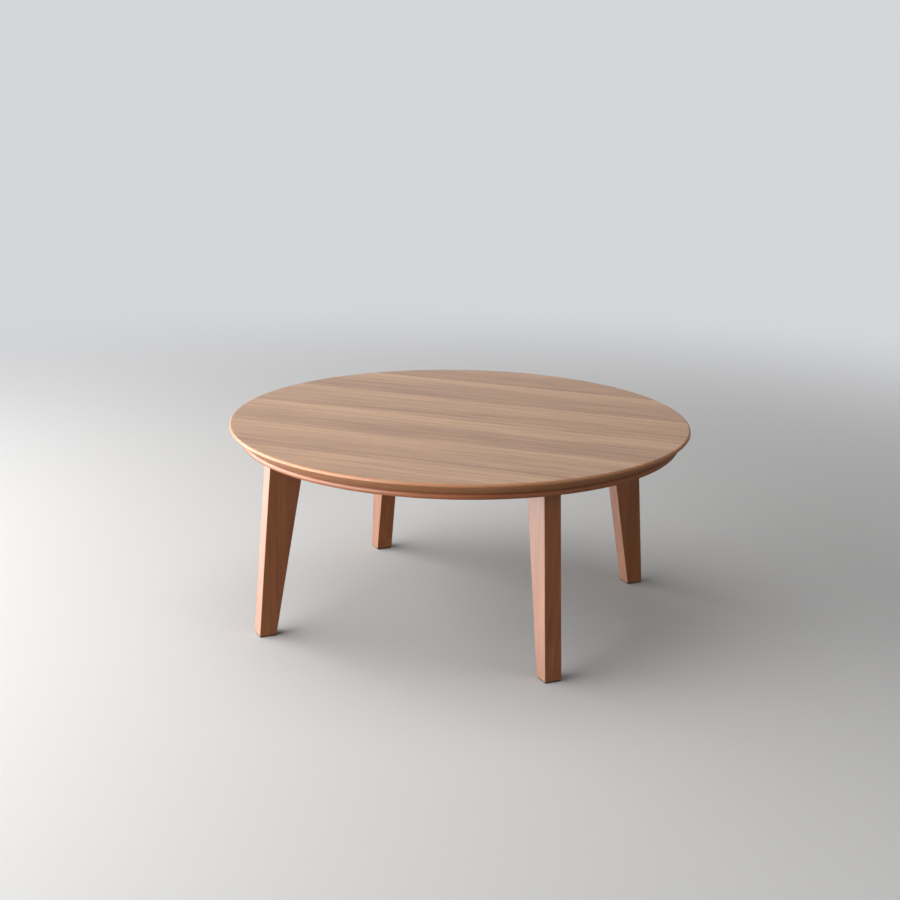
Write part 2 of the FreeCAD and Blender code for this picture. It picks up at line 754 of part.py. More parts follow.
def heater_guard():
    """A shallow steel tray under the bezel with a flat net for its floor."""
    sheet_thickness = number("guard_sheet")
    low, rim = number("guard_low"), number("bezel_low")
    floor_half, opening = number("guard_floor_half"), number("opening_half")
    bar = number("guard_bar")
    pitch = (2 * (floor_half - number("guard_margin")) - bar) / GUARD_GAPS
    first = -pitch * (GUARD_GAPS - 1) / 2
    net = square_wire(floor_half, low)
    gaps = [square_wire((pitch - bar) / 2, low).translated(Vector(first + i * pitch, first + j * pitch, 0))
            for i in range(GUARD_GAPS) for j in range(GUARD_GAPS)]
    floor = Part.makeFace([net] + gaps, "Part::FaceMakerBullseye").extrude(Vector(0, 0, sheet_thickness))
    walls = tray(floor_half, opening, low, rim)
    walls = walls.cut(tray(floor_half - sheet_thickness, opening - sheet_thickness, low, rim))
    flange = tray(number("guard_half"), number("guard_half"), number("guard_top"), rim)
    flange = flange.cut(tray(opening - sheet_thickness, opening - sheet_thickness, number("guard_top"), rim))
    guard_shell = doc.addObject("Part::Feature", "guard_shell")
    guard_shell.Shape = walls.fuse([floor, flange]).removeSplitter()
    keep("heater_guard", cut("heater_guard", guard_shell, guard_screw_holes("guard")))


def reflector():
    """An aluminium plate on the pan's flange, raised in the middle, with a round hole for the fan."""
    low, floor = number("reflector_low"), number("reflector_floor")
    sheet_thickness = number("reflector_sheet")
    foot, crown = number("reflector_foot"), number("reflector_crown")
    flange = tray(number("reflector_half"), number("reflector_half"), low, low + sheet_thickness)
    dish = tray(foot + sheet_thickness, crown + sheet_thickness, low, floor + sheet_thickness)
    hollow = tray(foot, crown, low, floor)
    plate = doc.addObject("Part::Feature", "reflector_plate")
    plate.Shape = flange.fuse(dish).cut(hollow).removeSplitter()
    holes = [cylinder("reflector_hole", "fan_diameter / 2 + fan_hole_margin",
                      "reflector_rise + reflector_sheet", ("0", "0", "reflector_low"))]
    for sign, name in ((-1, "front"), (1, "back")):
        holes.append(cylinder(f"reflector_lead_hole_{name}", "lead_diameter / 2 + lead_clearance",
                              "reflector_sheet", ("cap_middle", f"{sign} * tube_spacing / 2",
                                                  "reflector_floor")))
    keep("reflector", cut("reflector", plate, holes + guard_screw_holes("reflector")))


def bent_rod(name, radius):
    """A round rod bent to a U in the tube's plane, open towards the left."""
    leg_length = "tube_bend - tube_start"
    rods = [cylinder(f"{name}_rod_{sign + 1}", radius, leg_length,
                     ("tube_start", f"{sign} * tube_spacing / 2", "tube_axis"), ALONG_X)
            for sign in (-1, 1)]
    bend = bind(doc.addObject("Part::Torus", f"{name}_bend"), Radius1="tube_spacing / 2", Radius2=radius)
    bend.Angle3 = 180
    place(bend, ("tube_bend", "0", "tube_axis"), Rotation(Z_AXIS, -90))
    return joined(name, rods + [bend])


def heating_tube():
    """The quartz tube with its core, the ceramic caps on its ends and the clips near its bend."""
    bore = "(tube_diameter / 2 - tube_wall)"
    keep("quartz_tube", cut("quartz_tube", bent_rod("tube_outside", "tube_diameter / 2"),
                            [bent_rod("tube_bore", bore)]))
    keep("heating_core", bent_rod("heating_core", f"{bore} - core_clearance"))
    caps = []
    clips = []
    for sign, name in ((-1, "front"), (1, "back")):
        line = f"{sign} * tube_spacing / 2"
        cap = block(f"cap_{name}_body",
                    ("cap_outer", f"{line} - cap_width / 2", "reflector_floor - cap_depth"),
                    ("cap_outer + cap_length", f"{line} + cap_width / 2", "reflector_floor"))
        socket = cylinder(f"cap_{name}_socket", "tube_diameter / 2 + fit_clearance", "cap_socket",
                          ("tube_start", line, "tube_axis"), ALONG_X)
        caps.append(cut(f"cap_{name}", cap, [socket]))
        plate = block(f"clip_{name}_plate",
                      ("tube_bend - clip_sheet", f"{line} - clip_width / 2", "tube_axis - clip_width / 2"),
                      ("tube_bend", f"{line} + clip_width / 2", "reflector_floor"))
        eye = cylinder(f"clip_{name}_eye", "tube_diameter / 2 + fit_clearance", "3 * clip_sheet",
                       ("tube_bend - 2 * clip_sheet", line, "tube_axis"), ALONG_X)
        clips.append(cut(f"clip_{name}", plate, [eye]))
    group("tube_caps", caps)
    group("tube_clips", clips)


def fan():
    """A small motor under the pan's top, with a bush, a rotor and shaft, and an axial impeller."""
    shaft = "shaft_diameter / 2"
    keep("motor_bracket", block("motor_bracket",
                                ("0 - bracket_length / 2", "0 - bracket_width / 2", "motor_top"),
                                ("bracket_length / 2", "bracket_width / 2", "pan_ceiling")))
    keep("fan_motor", turned("fan_motor", [
        ("bush_diameter / 2", "motor_low"),
        ("motor_diameter / 2", "motor_low"),
        ("motor_diameter / 2", "motor_top"),
        ("0", "motor_top"),
        ("0", "motor_cavity_top"),
        ("motor_cavity_radius", "motor_cavity_top"),
        ("motor_cavity_radius", "motor_cavity_low"),
        ("bush_diameter / 2", "motor_cavity_low")]))
    keep("motor_bush", turned("motor_bush", [
        (f"{shaft} + shaft_clearance", "motor_low"),
        ("bush_diameter / 2", "motor_low"),
        ("bush_diameter / 2", "motor_cavity_low"),
        (f"{shaft} + shaft_clearance", "motor_cavity_low")]))
    keep("motor_rotor", turned("motor_rotor", [
        (shaft, "motor_cavity_low + rotor_end_gap"),
        ("motor_cavity_radius - rotor_gap", "motor_cavity_low + rotor_end_gap"),
        ("motor_cavity_radius - rotor_gap", "motor_cavity_top - rotor_end_gap"),
        (shaft, "motor_cavity_top - rotor_end_gap")]))
    keep("motor_shaft", cylinder("motor_shaft", shaft, "motor_cavity_top - rotor_end_gap / 2 - fan_low",
                                 ("0", "0", "fan_low")))
    keep("fan_impeller", impeller())


def impeller():
    """A hub with pitched blades round it, bored for the shaft."""
    body = new_body("fan_impeller")
    hub = circles(body, "fan_hub", "XY_Plane", [("0", "0")], "hub_diameter / 2", "fan_low")
    pad(body, hub, "fan_height")
    lean = "(fan_height / tan(blade_pitch) / 2)"
    edge = "(blade_sheet / sin(blade_pitch))"
    section = outline(body, "fan_blade_section", "YZ_Plane", [
        (f"0 - {lean}", "fan_low"),
        (f"{edge} - {lean}", "fan_low"),
        (lean, "fan_top"),
        (f"{lean} - {edge}", "fan_top")])
    blade = pad(body, section, "fan_diameter / 2")
    doc.recompute()
    pattern = body.newObject("PartDesign::PolarPattern", "fan_blades")
    pattern.Originals = [blade]
    axis = next(feature for feature in body.Origin.OriginFeatures if feature.Role == "Z_Axis")
    pattern.Axis = (axis, [""])
    pattern.Angle = 360
    pattern.Occurrences = FAN_BLADES
    body.Tip = pattern
    bore = circles(body, "fan_bore", "XY_Plane", [("0", "0")], "shaft_diameter / 2", "fan_top")
    body.Tip = pocket(body, bore, "fan_height")
    return body


def electrical_parts():
    """Thermostat and fuse on the reflector, terminal block under the pan's top, inlet on the pan's side."""
    case = cylinder("thermostat_case", "thermostat_diameter / 2", "thermostat_height",
                    ("sensor_line", "sensor_line", "reflector_top"))
    neck = cylinder("thermostat_neck", "thermostat_diameter / 2 - thermostat_step",
                    "thermostat_height + thermostat_step", ("sensor_line", "sensor_line", "reflector_top"))
    keep("thermostat", joined("thermostat", [case, neck]))
    keep("thermal_fuse", cylinder("thermal_fuse", "fuse_diameter / 2", "fuse_length",
                                  ("sensor_line - fuse_length / 2", "0 - sensor_line", "fuse_axis"),
                                  ALONG_X))
    bar = block("terminal_bar",
                ("block_middle - block_width / 2", "0 - block_length / 2", "pan_ceiling - block_height"),
                ("block_middle + block_width / 2", "block_length / 2", "pan_ceiling"))
    wells = [cylinder(f"terminal_well_{i}", "pin_diameter / 2", "block_height / 2",
                      ("block_middle", pin_line(i), "pan_ceiling - block_height"))
             for i in range(PIN_COUNT)]
    keep("terminal_block", cut("terminal_block", bar, wells))

    shell = block("inlet_shell", ("pan_half", "0 - inlet_width / 2", "inlet_low"),
                  ("pan_half + inlet_depth", "inlet_width / 2", "inlet_low + inlet_height"))
    socket = block("inlet_socket", ("pin_root", "inlet_wall - inlet_width / 2", "inlet_low + inlet_wall"),
                   ("pan_half + inlet_depth", "inlet_width / 2 - inlet_wall",
                    "inlet_low + inlet_height - inlet_wall"))
    pins = []
    holes = []
    for i in range(PIN_COUNT):
        pins.append(cylinder(f"inlet_pin_{i}", "pin_diameter / 2",
                             "pin_root + pin_length - pan_cavity + pin_tail",
                             ("pan_cavity - pin_tail", pin_line(i), "inlet_axis"), ALONG_X))
        holes.append(cylinder(f"inlet_pin_hole_{i}", "pin_diameter / 2 + fit_clearance", "inlet_back",
                              ("pan_half", pin_line(i), "inlet_axis"), ALONG_X))
    keep("cord_inlet", cut("cord_inlet", shell, [socket] + holes))
    group("inlet_pins", pins)


def pin_line(i):
    """How far a pin and its terminal are from the heater's middle line."""
    return f"{i - (PIN_COUNT - 1) / 2} * pin_pitch"


def lead(name, places):
    """A wire through points given by expressions, with a tangent arc at each corner."""
    points = [Vector(*[number(text) for text in at]) for at in places]
    start = points[0]
    edges = []
    for before, corner, after in zip(points, points[1:], points[2:]):
        arriving, leaving = corner - before, after - corner
        reach = BEND_SHARE * min(arriving.Length, leaving.Length)
        half_turn = arriving.getAngle(leaving) / 2
        radius = reach / math.tan(half_turn)
        arriving.normalize()
        leaving.normalize()
        first, last = corner - arriving * reach, corner + leaving * reach
        inward = (leaving - arriving).normalize()
        middle = corner + inward * (radius / math.cos(half_turn) - radius)
        edges += [Part.LineSegment(start, first).toShape(), Part.Arc(first, middle, last).toShape()]
        start = last
    edges.append(Part.LineSegment(start, points[-1]).toShape())
    section = Part.Wire(Part.makeCircle(number("lead_diameter / 2"), points[0], points[1] - points[0]))
    wire = doc.addObject("Part::Feature", name)
    wire.Shape = Part.Wire(edges).makePipeShell([section], True, False)
    return wire


def heater_leads():
    """Wires from the inlet to the terminals, and on to the motor, the sensors and the tube's caps."""
    leads = [lead(f"inlet_lead_{i}", [
        ("pan_cavity - pin_tail", pin_line(i), "inlet_axis"),
        ("block_middle", pin_line(i), "inlet_axis"),
        ("block_middle", pin_line(i), "pan_ceiling - block_height / 2")]) for i in range(PIN_COUNT)]
    for sign in (-1, 1):
        start = "(motor_diameter / 2 + fit_clearance)"
        level = "motor_low + motor_height / 2"
        leads.append(lead(f"motor_lead_{sign + 1}", [
            (f"{start} * cos(lead_turn)", f"{sign} * {start} * sin(lead_turn)", level),
            ("motor_diameter * cos(lead_turn)", f"{sign} * motor_diameter * sin(lead_turn)", level),
            ("block_middle - block_width / 2 - motor_diameter / 2", f"{sign} * pin_pitch", "lead_level"),
            ("block_middle - block_width / 2", f"{sign} * pin_pitch", "lead_level")]))
    leads.append(lead("thermostat_feed", [
        ("sensor_line + lead_spread", "block_length / 2", "lead_level"),
        ("sensor_line + lead_spread", "sensor_line", "lead_level"),
        ("sensor_line + lead_spread", "sensor_line", "thermostat_top")]))
    leads.append(lead("thermostat_return", [
        ("sensor_line - lead_spread", "sensor_line", "thermostat_top"),
        ("sensor_line - lead_spread", "sensor_line", "lead_level"),
        ("0", "sensor_line / 2 + tube_spacing / 4", "lead_level - lead_sag"),
        ("cap_middle", "tube_spacing / 2", "lead_level"),
        ("cap_middle", "tube_spacing / 2", "reflector_floor")]))
    leads.append(lead("fuse_feed", [
        ("sensor_line + fuse_length / 2", "0 - sensor_line", "fuse_axis"),
        ("reflector_foot", "0 - sensor_line", "fuse_axis"),
        ("block_middle", "0 - tube_spacing / 2", "lead_level"),
        ("block_middle", "0 - block_length / 2", "lead_level")]))
    leads.append(lead("fuse_return", [
        ("sensor_line - fuse_length / 2", "0 - sensor_line", "fuse_axis"),
        ("tube_spacing / 2", "0 - sensor_line", "fuse_axis"),
        ("cap_middle", "0 - tube_spacing / 2", "lead_level"),
        ("cap_middle", "0 - tube_spacing / 2", "reflector_floor")]))
    group("heater_leads", leads)


def write_parts():
    """Checks every object and writes one file for each piece."""
    doc.recompute()
    for thing in doc.Objects:
        if "Invalid" in thing.State or "Error" in thing.State:
            raise ValueError(f"{thing.Label} failed: {thing.State}")
    for label, thing in sub_parts.items():
        if thing.Shape.isNull() or not thing.Shape.isValid() or not thing.Shape.Solids:
            raise ValueError(f"{label} has no valid solid")
    os.makedirs("parts", exist_ok=True)
    for label, thing in sub_parts.items():
        thing.Shape.exportStep(f"parts/{label}.step")
    print(f"{len(sub_parts)} pieces written")


loose_top()
frame_boards()
frame_rails()
cross_battens()
legs()
heater_shell()
heater_guard()
reflector()
heating_tube()
fan()
electrical_parts()
heater_leads()
write_parts()
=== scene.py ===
import math

import bmesh
import bpy
from bpy.props import FloatProperty, FloatVectorProperty, IntProperty, PointerProperty
from mathutils import Matrix, Vector


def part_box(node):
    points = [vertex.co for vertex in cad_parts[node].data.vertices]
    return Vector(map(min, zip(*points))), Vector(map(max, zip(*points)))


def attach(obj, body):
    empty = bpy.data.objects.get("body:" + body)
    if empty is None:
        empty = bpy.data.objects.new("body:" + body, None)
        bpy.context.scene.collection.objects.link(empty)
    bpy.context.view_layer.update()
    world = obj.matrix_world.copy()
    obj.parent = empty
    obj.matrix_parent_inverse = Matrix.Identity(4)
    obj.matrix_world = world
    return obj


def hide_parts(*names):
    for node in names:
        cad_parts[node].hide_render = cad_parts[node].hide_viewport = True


bl_info = {
    "name": "Round kotatsu table",
    "version": (1, 0, 0),
    "blender": (4, 5, 0),
    "location": "View3D > Sidebar > Kotatsu",
    "description": "Gives the frame of a round kotatsu table its woods, metals and plastics",
    "category": "Object",
}

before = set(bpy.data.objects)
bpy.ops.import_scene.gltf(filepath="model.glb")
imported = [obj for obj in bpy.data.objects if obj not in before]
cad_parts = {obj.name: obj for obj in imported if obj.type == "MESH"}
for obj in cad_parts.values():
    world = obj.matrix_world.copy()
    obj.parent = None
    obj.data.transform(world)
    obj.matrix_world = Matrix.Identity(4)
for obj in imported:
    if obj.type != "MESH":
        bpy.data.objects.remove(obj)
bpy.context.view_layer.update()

# Turns in degrees: the sides from the front, the corners and the front from the X axis
SIDES = {"front": 0, "right": 90, "back": 180, "left": 270}
CORNERS = {"front_right": -45, "back_right": 45, "back_left": 135, "front_left": 225}
FRONT = -90
FULL_TURN = 2 * math.pi
# Steps of a full round and of the lip, and how near counts as being there
ROUND_STEPS = 320
LIP_STEPS = 12
NEAR = 1e-4
# Angles from which an edge is eased, or stays sharp in shading
SHARP = math.radians(25)
CREASE = math.radians(40)
# Turn from one screw to the next, in radians
SCREW_TURN = 0.7
# Colour of the room, and the point that the lamps face
ROOM = (0.97, 0.98, 1.0)
AIM = Vector((0, 0, 0.4))


# Sizes and colours that a user can change

def amount(name, description, default, **options):
    """A number from zero up."""
    return FloatProperty(name=name, description=description, default=default, min=0.0, **options)


def length(name, description, default):
    """A size in metres."""
    return amount(name, description, default, precision=4, unit="LENGTH")


def linear(value):
    """A screen colour value from 0 to 255 as light."""
    share = value / 255
    return share / 12.92 if share <= 0.04045 else ((share + 0.055) / 1.055) ** 2.4


def colour(name, description, red, green, blue):
    """A colour given as it looks on a screen."""
    return FloatVectorProperty(name=name, description=description, subtype="COLOR", size=3, min=0.0, max=1.0,
                               default=(linear(red), linear(green), linear(blue)))


class TopSettings(bpy.types.PropertyGroup):
    """The loose round top."""
    radius: length("Radius", "Half of the top's diameter", 0.45)
    height: length("Height", "The top face above the floor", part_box("top_veneer")[1].z)
    veneer_low: length("Veneer underside", "Where the veneer meets the board below it",
                       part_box("top_veneer")[0].z)
    lip_round: length("Lip round", "Radius of the rounded lip", 0.005)
    lip_arris: length("Lip arris", "Radius of the eased lower corner of the lip", 0.0004)
    lip_low: length("Lip foot", "Height at which the lip turns into the bevel below", 0.3845)
    bevel_radius: length("Bevel radius", "Radius at which the bevel meets the underside", 0.4275)
    edge_low: length("Edge underside", "Underside of the solid edge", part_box("top_edge_front")[0].z)
    edge_inner: length("Edge inside", "Radius at which the solid edge meets the core", 0.408)
    leaf_width: length("Leaf width", "Width of one leaf of veneer", 0.161)
    leaf_seam: FloatProperty(
        name="Seam", description="Place of one seam across the grain", default=-0.167, unit="LENGTH")
    veneer_pale: colour("Veneer pale", "Pale wood of the veneer", 184, 143, 107)
    veneer_dark: colour("Veneer dark", "Dark streaks of the veneer", 139, 99, 70)
    edge_pale: colour("Edge pale", "Pale wood of the edge", 200, 141, 98)
    edge_dark: colour("Edge dark", "Dark streaks of the edge", 157, 102, 66)


class FrameSettings(bpy.types.PropertyGroup):
    """The frame under the top."""
    ring_radius: length("Ring radius", "Outside of the lipping round the frame", 0.429)
    board_radius: length("Board radius", "Radius of the boards inside the lipping", 0.423)
    ring_bulge: length("Ring bulge", "How far the lipping's round face stands out", 0.0025)
    arris: length("Arris", "Rounding of the sawn edges", 0.0007)
    screw_spread: length("Screw spread", "Half of the distance between two screws of a board", 0.110)
    board_low: length("Board underside", "Underside of the frame's boards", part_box("frame_lipping")[0].z)
    board_top: length("Board top", "Upper side of the frame's boards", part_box("frame_lipping")[1].z)
    rail_low: length("Rail underside", "Underside of the rails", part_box("frame_rail_front")[0].z)
    rail_outer: length("Rail outside", "Outer face of a rail from the middle",
                       -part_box("frame_rail_front")[0].y)
    rail_inner: length("Rail inside", "Inner face of a rail from the middle",
                       -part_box("frame_rail_front")[1].y)
    block_reach: length("Block reach", "Depth of a corner block from its corner", 0.035)
    batten_inner: length("Batten inside", "Inner face of a batten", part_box("cross_batten_back")[0].y)
    batten_outer: length("Batten outside", "Outer face of a batten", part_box("cross_batten_back")[1].y)
    bumper_circle: length("Bumper circle", "Radius of the circle of bumpers", 0.398)
    bumper_radius: length("Bumper radius", "Radius of a bumper", 0.0089)
    bumper_round: length("Bumper round", "Rounding of a bumper's upper edge", 0.0009)
    bumper_low: length("Bumper seat", "Bottom of a bumper's seat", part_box("top_bumpers")[0].z)
    bumper_top: length("Bumper top", "Top of a bumper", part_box("top_bumpers")[1].z)
    bumper_turn: FloatProperty(name="Bumper turn", description="Turn of a bumper from the middle of a board",
                               default=math.radians(24), subtype="ANGLE")
    ring_pale: colour("Ring pale", "Pale wood of the lipping", 176, 110, 72)
    ring_dark: colour("Ring dark", "Dark streaks of the lipping", 139, 81, 49)
    board_pale: colour("Board pale", "Pale wood under the frame", 170, 122, 84)
    board_dark: colour("Board dark", "Dark streaks under the frame", 138, 94, 62)
    rail_pale: colour("Rail pale", "Pale wood of rails, blocks and battens", 196, 150, 104)
    rail_dark: colour("Rail dark", "Dark wood of rails, blocks and battens", 162, 112, 72)


class LegSettings(bpy.types.PropertyGroup):
    """The splayed legs with their pads and bolts."""
    top_outer: length("Top outside", "Outer edge of a leg at the frame", 0.396)
    seat: length("Seat", "Face of a leg against the rails", 0.332)
    foot_outer: length("Foot outside", "Outer edge of a leg at the foot", 0.422)
    foot_inner: length("Foot inside", "Inner edge of a leg at the foot", 0.388)
    thickness: length("Thickness", "Thickness of a leg", 0.034)
    edge_round: length("Edge round", "Rounding of a leg's long edges", 0.0015)
    pad_top: length("Pad thickness", "Thickness of a foot pad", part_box("foot_pad_front_right")[1].z)
    pad_margin: length("Pad margin", "How far a pad stays inside the leg's end", 0.001)
    pad_round: length("Pad round", "Rounding of a pad's upper and lower edges", 0.0005)
    bolt_spread: length("Bolt spread", "Half of the distance between two bolts", 0.0075)
    bolt_head: length("Bolt head", "Width of a bolt's head across its flats", 0.010)
    bolt_head_height: length("Bolt head height", "Height of a bolt's head", 0.004)
    bolt_round: length("Bolt round", "Rounding of the edges of a bolt's head", 0.0005)
    bolt_radius: length("Bolt radius", "Radius of a bolt's shank", 0.003)
    washer_radius: length("Washer radius", "Radius of a washer", 0.0065)
    washer_thickness: length("Washer thickness", "Thickness of a washer", 0.0012)
    washer_round: length("Washer round", "Rounding of a washer's outer edges", 0.0003)
    washer_play: length("Washer play", "Gap between a washer and its bolt", 0.0003)
    insert_length: length("Insert length", "Length of a threaded insert in the leg", 0.020)
    leg_pale: colour("Leg pale", "Pale wood of the legs", 168, 101, 53)
    leg_dark: colour("Leg dark", "Dark wood of the legs", 124, 69, 30)
    felt: colour("Felt", "Felt of the foot pads", 52, 38, 30)


class HeaterSettings(bpy.types.PropertyGroup):
    """The heater that hangs in the frame."""
    bezel_low: length("Bezel underside", "Underside of the bezel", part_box("heater_bezel")[0].z)
    guard_half: length("Guard half", "Half of the guard's width with its flange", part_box("heater_guard")[1].x)
    guard_low: length("Guard underside", "Underside of the guard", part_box("heater_guard")[0].z)
    guard_sheet: length("Guard sheet", "Thickness of the guard", 0.0015)
    guard_gaps: IntProperty(
        name="Guard gaps", description="Gaps of the net along one side", default=15, min=1)
    guard_bar: length("Guard bar", "Width of a bar of the guard", 0.0024)
    guard_round: length("Guard round", "Rounding of the guard's edges", 0.0004)
    guard_flange: length("Guard flange", "Width of the guard's flange", 0.008)
    guard_taper: length("Guard taper", "How far the guard's walls lean in", 0.008)
    guard_margin: length("Guard margin", "Plain margin round the net", 0.003)
    screw_spread: length("Screw spread", "Half of the distance between two screws of the bezel", 0.110)
    screw_head: length("Screw head", "Radius of a screw's head", 0.004)
    screw_radius: length("Screw radius", "Radius of a screw's shank", 0.002)
    bezel: colour("Bezel", "Plastic of the bezel and the inlet", 58, 48, 43)
    guard: colour("Guard", "Coating of the guard", 47, 38, 33)


class StageSettings(bpy.types.PropertyGroup):
    """Floor, lamps and camera."""
    floor: colour("Floor", "Colour of the floor and backdrop", 188, 187, 186)
    floor_shade: colour("Floor shade", "Colour of the light that the floor throws back", 84, 86, 88)
    floor_shine: amount("Floor shine", "Polish of the floor for light that it throws back", 1.0, max=1.0,
                        subtype="FACTOR")
    floor_radius: length("Floor radius", "Radius of the floor", 60.0)
    fade_start: length("Fade start", "Distance at which the floor begins to fade into the room", 1.0)
    fade_end: length("Fade end", "Distance at which the floor has faded into the room", 3.4)
    window_power: amount("Window power", "Power of the long lamp on the left", 224.0, unit="POWER")
    low_power: amount("Low power", "Power of the lamp close to the floor on the left", 28.0, unit="POWER")
    top_power: amount("Top power", "Power of the soft lamp overhead", 39.0, unit="POWER")
    fill_power: amount("Fill power", "Power of the weak lamp on the right", 8.0, unit="POWER")
    world: amount("World", "Strength of the even light from all round", 0.14)
    surround: amount("Surround", "Brightness of the room behind the floor", 0.68)
    wall: amount("Wall", "Brightness of the wall behind on the left in reflections", 1.0)
    wall_side: FloatVectorProperty(name="Wall side", description="Direction of the pale wall in reflections",
                                   size=3, default=(-0.87, 0.5, 0.0), subtype="DIRECTION")
    camera_place: FloatVectorProperty(name="Camera place", description="Where the camera stands", size=3,
                                      default=(1.1128, -3.0216, 1.2102), subtype="TRANSLATION", unit="LENGTH")
    camera_turn: FloatVectorProperty(name="Camera turn", description="How the camera is turned", size=3,
                                     default=[math.radians(a) for a in (74.6676, -0.8667, 20.7832)],
                                     subtype="EULER")
    lens: FloatProperty(name="Lens", description="Focal length in millimetres", default=67.65, min=1.0,
                        unit="CAMERA")


# Mesh tools

def chain(points, closed):
    """A line of points given by radius and height, in the plane through the X and Z axes."""
    bm = bmesh.new()
    verts = [bm.verts.new((radius, 0, height)) for radius, height in points]
    for first, second in zip(verts, verts[1:] + (verts[:1] if closed else [])):
        bm.edges.new((first, second))
    return bm, verts


def disc(segments, radius, height=0.0):
    """A flat plate with as many corners as segments."""
    bm = bmesh.new()
    bmesh.ops.create_circle(bm, cap_ends=True, segments=segments, radius=radius,
                            matrix=Matrix.Translation((0, 0, height)))
    return bm


def add_rod(bm, segments, radius, low, rise):
    """Adds an upright round rod."""
    bmesh.ops.create_cone(bm, cap_ends=True, segments=segments, radius1=radius, radius2=radius, depth=rise,
                          matrix=Matrix.Translation((0, 0, low + rise / 2)))


def round_corners(bm, verts, radius, segments):
    bmesh.ops.bevel(bm, geom=verts, offset=radius, offset_type="OFFSET", segments=segments, profile=0.5,
                    affect="VERTICES", material=-1)


def spin(bm, steps, sweep=FULL_TURN):
    """Turns a line about the table's axis."""
    bmesh.ops.spin(bm, geom=bm.verts[:] + bm.edges[:], cent=(0, 0, 0), axis=(0, 0, 1), angle=sweep,
                   steps=steps, use_merge=sweep == FULL_TURN)
    close(bm)


def close(bm):
    """Merges what lies together, fills open ends and turns all faces outwards."""
    bmesh.ops.remove_doubles(bm, verts=bm.verts, dist=1e-6)
    rims = [edge for edge in bm.edges if edge.is_boundary]
    if rims:
        bmesh.ops.holes_fill(bm, edges=rims, sides=0)
    bmesh.ops.recalc_face_normals(bm, faces=bm.faces)


def cut(bm, point, normal, **options):
    bmesh.ops.bisect_plane(bm, geom=bm.verts[:] + bm.edges[:] + bm.faces[:], dist=1e-7, plane_co=point,
                           plane_no=normal, **options)


def saw(bm, point, normal):
    """Cuts off what lies on the side that the normal points to."""
    cut(bm, point, normal, clear_outer=True)
    close(bm)


def prism(corners, move):
    """A solid with a flat outline of points, moved along a vector."""
    bm = bmesh.new()
    face = bm.faces.new([bm.verts.new(corner) for corner in corners])
    extrude(bm, [face], move)
    bmesh.ops.recalc_face_normals(bm, faces=bm.faces)
    return bm


def only(kind, items):
    return [item for item in items if isinstance(item, kind)]


def extrude(bm, faces, move):
    raised = bmesh.ops.extrude_face_region(bm, geom=faces)["geom"]
    bmesh.ops.translate(bm, vec=move, verts=only(bmesh.types.BMVert, raised))


def raise_rim(bm, rim, growth, rise):
    """Draws a rim of edges on to a larger or smaller one, higher or lower."""
    drawn = bmesh.ops.extrude_edge_only(bm, edges=rim)["geom"]
    verts = only(bmesh.types.BMVert, drawn)
    bmesh.ops.scale(bm, vec=(growth, growth, 1), verts=verts)
    bmesh.ops.translate(bm, vec=(0, 0, rise), verts=verts)
    return only(bmesh.types.BMEdge, drawn)


def ease(bm, width, segments=2, wanted=None):
    """Rounds the sharp edges, or those of them that the test picks."""
    edges = [edge for edge in bm.edges if edge.is_manifold and edge.calc_face_angle() > SHARP
             and (wanted is None or wanted(edge))]
    bmesh.ops.bevel(bm, geom=edges, offset=width, offset_type="OFFSET", segments=segments, profile=0.5,
                    affect="EDGES", clamp_overlap=True, material=-1)


def upright(edge):
    run = edge.verts[1].co - edge.verts[0].co
    return abs(run.z) > math.hypot(run.x, run.y)


def turned(degrees):
    """A turn about the table's axis."""
    return Matrix.Rotation(math.radians(degrees), 4, "Z")


def turn(bm, degrees):
    bmesh.ops.rotate(bm, cent=(0, 0, 0), matrix=turned(degrees).to_3x3(), verts=bm.verts)


def four_places(x, y):
    """Places at both signs of two distances."""
    return [Vector((x * right, y * back, 0)) for right in (-1, 1) for back in (-1, 1)]


def add_copies(source, matrices):
    """One mesh with a copy of another at each place, in place of it."""
    target, mesh = bmesh.new(), bpy.data.meshes.new("copy")
    for matrix in matrices:
        source.to_mesh(mesh)
        mesh.transform(matrix)
        target.from_mesh(mesh)
    bpy.data.meshes.remove(mesh)
    source.free()
    return target


def lay_grain(bm, rule):
    """Writes where each corner lies in the piece's own wood, with the grain along X."""
    layer = bm.loops.layers.float_vector.new("grain")
    for face in bm.faces:
        centre = face.calc_center_median()
        for loop in face.loops:
            loop[layer] = rule(loop.vert.co, centre)


def along(axes, shift):
    """Grain that follows the first of three axes."""
    return lambda point, centre: getattr(point, axes) + shift


def around(radius, shift):
    """Grain that follows the table's edge."""
    def rule(point, centre):
        middle = math.atan2(centre.y, centre.x)
        step = math.remainder(math.atan2(point.y, point.x) - middle, FULL_TURN)
        return Vector(((middle + step) * radius, math.hypot(point.x, point.y), point.z)) + shift
    return rule


def add_object(bm, name, material):
    """Turns a mesh into an object of the scene."""
    mesh = bpy.data.meshes.new(name)
    bm.to_mesh(mesh)
    bm.free()
    mesh.materials.append(material)
    made = bpy.data.objects.new(name, mesh)
    bpy.context.scene.collection.objects.link(made)
    return made


def make_piece(bm, name, material, node, slot, body="frame"):
    """Turns a mesh into a piece that rides on a body and stands for a node of the frame."""
    piece = add_object(bm, name, material)
    piece.data.shade_smooth()
    piece.data.set_sharp_from_angle(angle=CREASE)
    normals = piece.modifiers.new("Flat faces stay flat", "WEIGHTED_NORMAL")
    normals.keep_sharp = True
    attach(piece, body)
    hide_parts(node)
    return piece


def dress(material, *nodes):
    """Gives nodes of the frame a finish."""
    for node in nodes:
        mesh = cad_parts[node].data
        mesh.materials.clear()
        mesh.materials.append(material)


# Shader tools

